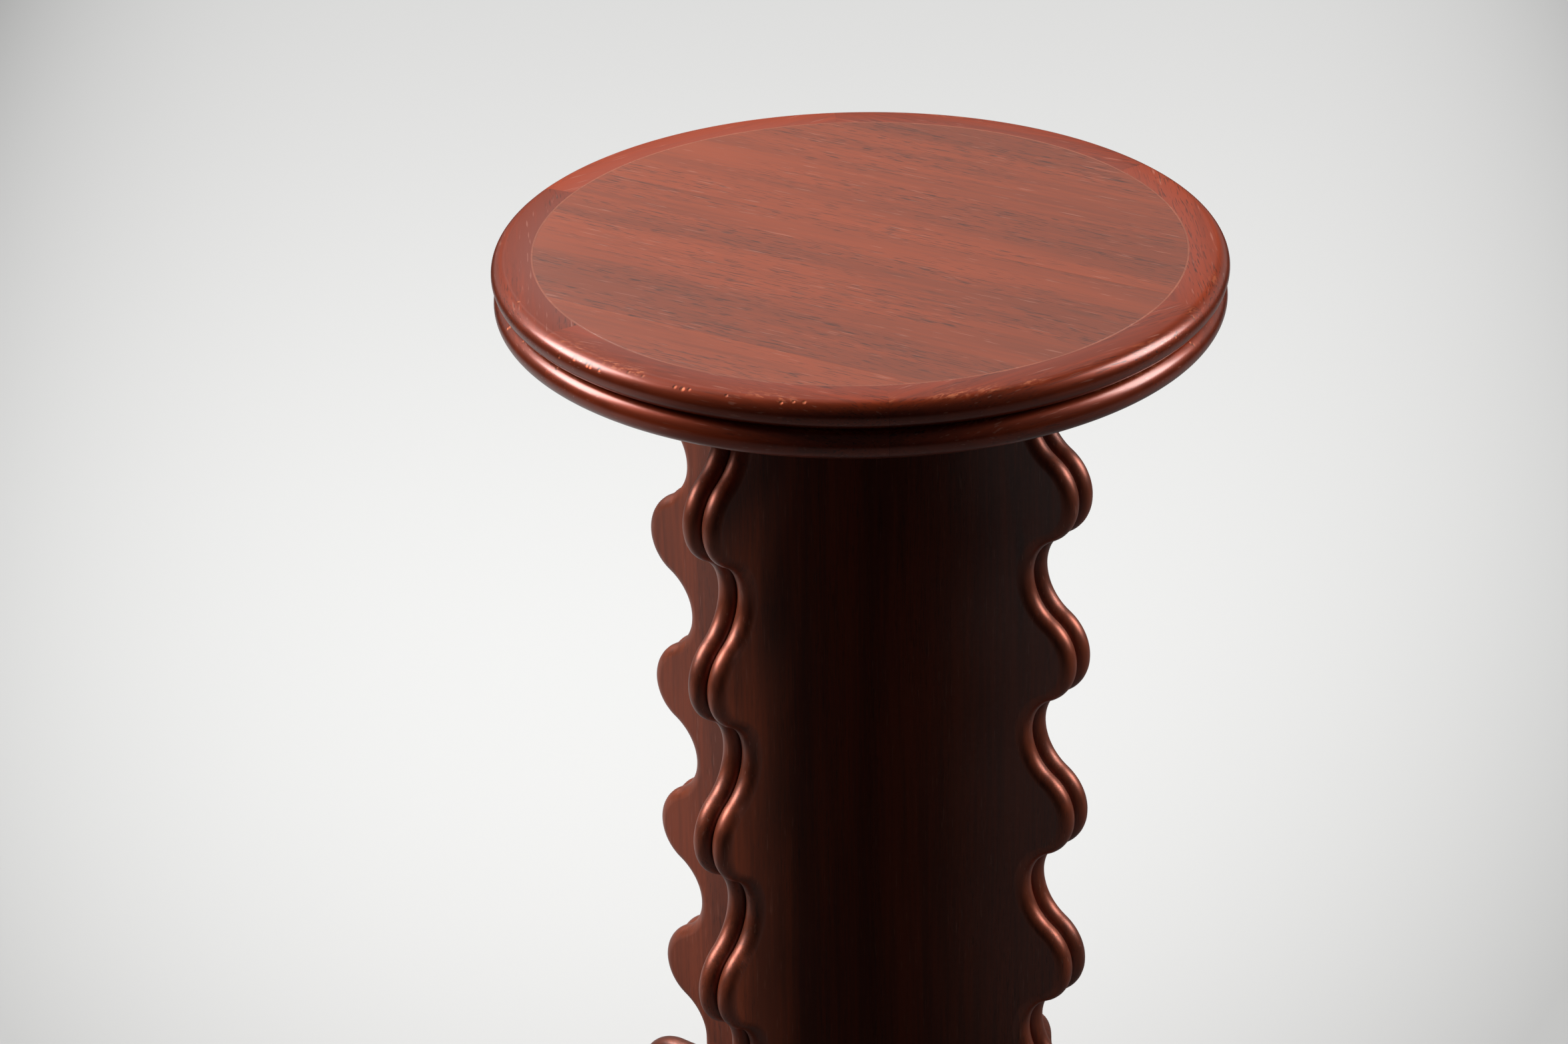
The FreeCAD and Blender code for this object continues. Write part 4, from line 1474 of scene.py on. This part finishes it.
@dataclass
class Studio:
    """A pale floor in a dim room, soft light panels to the left, the right and behind, and the camera."""

    azimuth: float = 36.6
    distance: float = 1.7779
    elevation: float = 23.523
    yaw: float = -1.244
    pitch: float = 27.383
    roll: float = -1.282
    lens: float = 93.95
    sensor: float = 36.0
    target: float = 560 * MM
    panels: tuple[Panel, ...] = (
        Panel("left_panel", (-1.10, 0.17, 1.22), (0.55, 0.60), 16.5),
        Panel("right_panel", (1.15, 0.12, 1.12), (0.50, 0.60), 10.8),
        Panel("near_panel", (-0.50, 0.55, 1.20), (0.8, 0.6), 2.4),
        Panel("back_panel", (-0.30, 0.95, 2.25), (2.4, 1.3), 14.5),
    )
    panel_aim: float = 0.5
    white: Colour = (0.98, 0.98, 0.97, 1)
    floor_size: float = 24.0
    floor_drop: float = 0.1 * MM
    floor_colour: Colour = (0.36, 0.36, 0.355, 1)
    dim_colour: Colour = (0.05, 0.05, 0.05, 1)
    floor_glow: float = 0.2
    pool_middle: Point = (-0.053, 2.14)
    pool_reach: Point = (0.90, 2.64)
    pool_glow: float = 0.61
    pool_edge: float = 3.0
    floor_light_patches: tuple[FloorLightPatch, ...] = (FloorLightPatch((-1, 1), 0.5, 0.05, 0.45), FloorLightPatch((2, 1), 0.2, 0.3, 0.8))
    pale_share: float = 0.10
    floor_patch_glow: float = 0.40
    pale_end: Point = (2.0, 1.2)
    room_colour: Colour = (1, 1, 1, 1)
    room_fill: float = 0.02
    backdrop: Point = (0.35, 0.95)
    backdrop_fill: float = 0.35
    backdrop_glow: float = 0.30

    def __post_init__(self) -> None:
        """Work out the camera's level directions."""
        turn = math.radians(self.azimuth)
        self.right, self.away, self.up = polar(1, turn), polar(1, turn + QUARTER), Vector((0, 0, 1))

    def place(self, right: float, away: float, up: float = 0.0) -> Vector:
        """Give a place from the camera's right and away directions and a height."""
        return self.right * right + self.away * away + self.up * up

    def build_camera(self) -> None:
        """Set up the camera as the photograph was taken."""
        rise = math.radians(self.elevation)
        yaw, pitch, roll = (math.radians(angle) for angle in (self.yaw, self.pitch, self.roll))
        cos_roll, sin_roll, cos_pitch = math.cos(roll), math.sin(roll), math.cos(pitch)
        place = self.place(0.0, -self.distance * math.cos(rise), self.target + self.distance * math.sin(rise))
        ahead = self.place(math.sin(yaw) * cos_pitch, math.cos(yaw) * cos_pitch, -math.sin(pitch))
        level = self.place(math.cos(yaw), -math.sin(yaw))
        upright = level.cross(ahead)
        right, up = level * cos_roll + upright * sin_roll, upright * cos_roll - level * sin_roll
        data = bpy.data.cameras.new("camera")
        data.lens = self.lens
        data.sensor_width = self.sensor
        camera = new_object("camera", data)
        axes = Matrix((right, up, -ahead)).transposed().to_4x4()
        camera.matrix_world = Matrix.Translation(place) @ axes
        bpy.context.scene.camera = camera

    def build_light(self) -> None:
        """Hang the panels."""
        for panel in self.panels:
            data = bpy.data.lights.new(panel.name, "AREA")
            data.shape = "RECTANGLE"
            data.size, data.size_y = panel.size
            data.energy = panel.power
            lamp = new_object(panel.name, data)
            lamp.location = self.place(*panel.place)
            facing = Vector((0, 0, self.panel_aim)) - lamp.location
            lamp.rotation_euler = facing.to_track_quat("-Z", "Y").to_euler()

    def rays(self, bench: NodeBench) -> tuple[NodeSocket, NodeSocket]:
        """Tell whether the camera looks straight on, and whether it looks by way of a mirror or glass."""
        path = bench.add("ShaderNodeLightPath").outputs
        return (path["Is Camera Ray"],
                bench.math("MAXIMUM", path["Is Glossy Ray"], path["Is Transmission Ray"]))

    def pool(self, bench: NodeBench, place: NodeSocket) -> NodeSocket:
        """Spread the pool of light on the floor that the camera sees.

        Args:
            bench: The bench on the floor's nodes.
            place: The place on the floor.

        Returns:
            The glow, which falls off to all sides.
        """
        fall = 0.0
        for way, middle, reach in zip((self.right, self.away), self.pool_middle, self.pool_reach):
            along = bench.math("SUBTRACT", bench.measure("DOT_PRODUCT", place, way), middle)
            share = bench.math("DIVIDE", along, reach)
            fall = bench.math("ADD", bench.times(share, share), fall)
        glow = bench.math("SUBTRACT", self.pool_glow, bench.math("POWER", fall, self.pool_edge))
        return bench.math("MAXIMUM", glow, self.floor_glow)

    def painted_floor_light(self, bench: NodeBench, place: NodeSocket, mirrored: NodeSocket) -> NodeSocket:
        """Paint light on the floor: pale and glowing in patches to reflections and bounce light, and a little
        pale in all reflections.

        Args:
            bench: The bench on the floor's nodes.
            place: The place on the floor.
            mirrored: Whether the camera looks by way of a mirror or glass.

        Returns:
            The share of the floor's pale colour and of its painted glow.
        """
        pale = bench.times(mirrored, self.pale_share)
        for part in self.floor_light_patches:
            reach = bench.measure("DOT_PRODUCT", place, self.place(*part.way).normalized())
            share = bench.times(bench.ramp(reach, part.start, part.full), part.share)
            pale = bench.math("MAXIMUM", pale, share)
        return bench.times(pale, bench.ramp(bench.measure("DISTANCE", place, Vector()), *self.pale_end))

    def build_floor(self) -> None:
        """Lay the pale floor, which keeps the table's shadow and is left out from below."""
        half, level = self.floor_size / 2, -self.floor_drop
        corners = [(-half, -half, level), (half, -half, level), (half, half, level), (-half, half, level)]
        mesh = bpy.data.meshes.new("floor")
        mesh.from_pydata(corners, [], [(0, 1, 2, 3)])
        material = bpy.data.materials.new("pale_floor")
        material.use_nodes = True
        material.node_tree.nodes.clear()
        bench = NodeBench(material.node_tree)
        place = bench.place()
        straight, mirrored = self.rays(bench)
        pale = self.painted_floor_light(bench, place, mirrored)
        # Painted light: the patches glow, and elsewhere the floor shows its dim colour to reflections and
        # bounce light as painted shade.
        glow = bench.math("MAXIMUM", bench.times(straight, self.pool(bench, place)),
                          bench.times(pale, self.floor_patch_glow))
        colour = bench.mix(bench.math("MAXIMUM", straight, pale), self.dim_colour, self.floor_colour)
        paper = bench.add("ShaderNodeBsdfDiffuse", {"Color": colour})
        light = bench.add("ShaderNodeEmission", {"Color": self.white, "Strength": glow})
        glowing = bench.add("ShaderNodeAddShader", {0: paper.outputs[0], 1: light.outputs[0]})
        clear = bench.add("ShaderNodeBsdfTransparent")
        below = bench.add("ShaderNodeNewGeometry").outputs["Backfacing"]
        both = bench.add("ShaderNodeMixShader", {0: below, 1: glowing.outputs[0], 2: clear.outputs[0]})
        bench.add("ShaderNodeOutputMaterial", {"Surface": both.outputs[0]})
        mesh.materials.append(material)
        floor = new_object("floor", mesh)

    def build_world(self) -> None:
        """Surround the table with a dim room that has a pale backdrop behind the table."""
        world = bpy.data.worlds.new("studio")
        world.use_nodes = True
        world.node_tree.nodes.clear()
        bench = NodeBench(world.node_tree)
        way = bench.add("ShaderNodeTexCoord").outputs["Generated"]
        backdrop = bench.ramp(bench.measure("DOT_PRODUCT", way, self.away), *self.backdrop)
        bright = bench.math("ADD", bench.times(backdrop, self.backdrop_fill), self.room_fill)
        room = bench.add("ShaderNodeBackground", {"Color": self.room_colour, "Strength": bright})
        pale = bench.add("ShaderNodeBackground", {"Color": self.white, "Strength": self.backdrop_glow})
        straight, mirrored = self.rays(bench)
        shown = bench.math("MAXIMUM", straight, bench.times(mirrored, backdrop))
        mixed = bench.add("ShaderNodeMixShader", {0: shown, 1: room.outputs[0], 2: pale.outputs[0]})
        bench.add("ShaderNodeOutputWorld", {"Surface": mixed.outputs[0]})
        bpy.context.scene.world = world

    def build(self) -> None:
        """Set up the studio."""
        self.build_floor()
        self.build_world()
        self.build_light()
        self.build_camera()
        bpy.context.scene.view_settings.view_transform = "Standard"


def main() -> None:
    """Build the table piece by piece, then the studio."""
    logging.basicConfig(level=logging.INFO, format="%(message)s")
    Rim(RIM_WOOD.material()).build()
    field = Field(FIELD_WOOD.material(), LINE_WOOD.material())
    field.build_boards()
    field.build_line()
    column_finish = COLUMN_WOOD.material()
    column = Column(column_finish)
    column.build_through()
    column.build_wing(Side.FRONT)
    column.build_wing(Side.BACK)
    foot = Foot(column_finish)
    for side in Side:
        foot.build(side)
    blocks = CornerBlocks(BLOCK_WOOD.material(), Steel().material())
    blocks.build_blocks()
    blocks.build_screws()
    FeltPads(Felt().material(), foot.sole_middle()).build()
    HiddenJoinery(DOWEL_WOOD.material()).dress()
    Studio().build()


if __name__ == "__main__":
    main()
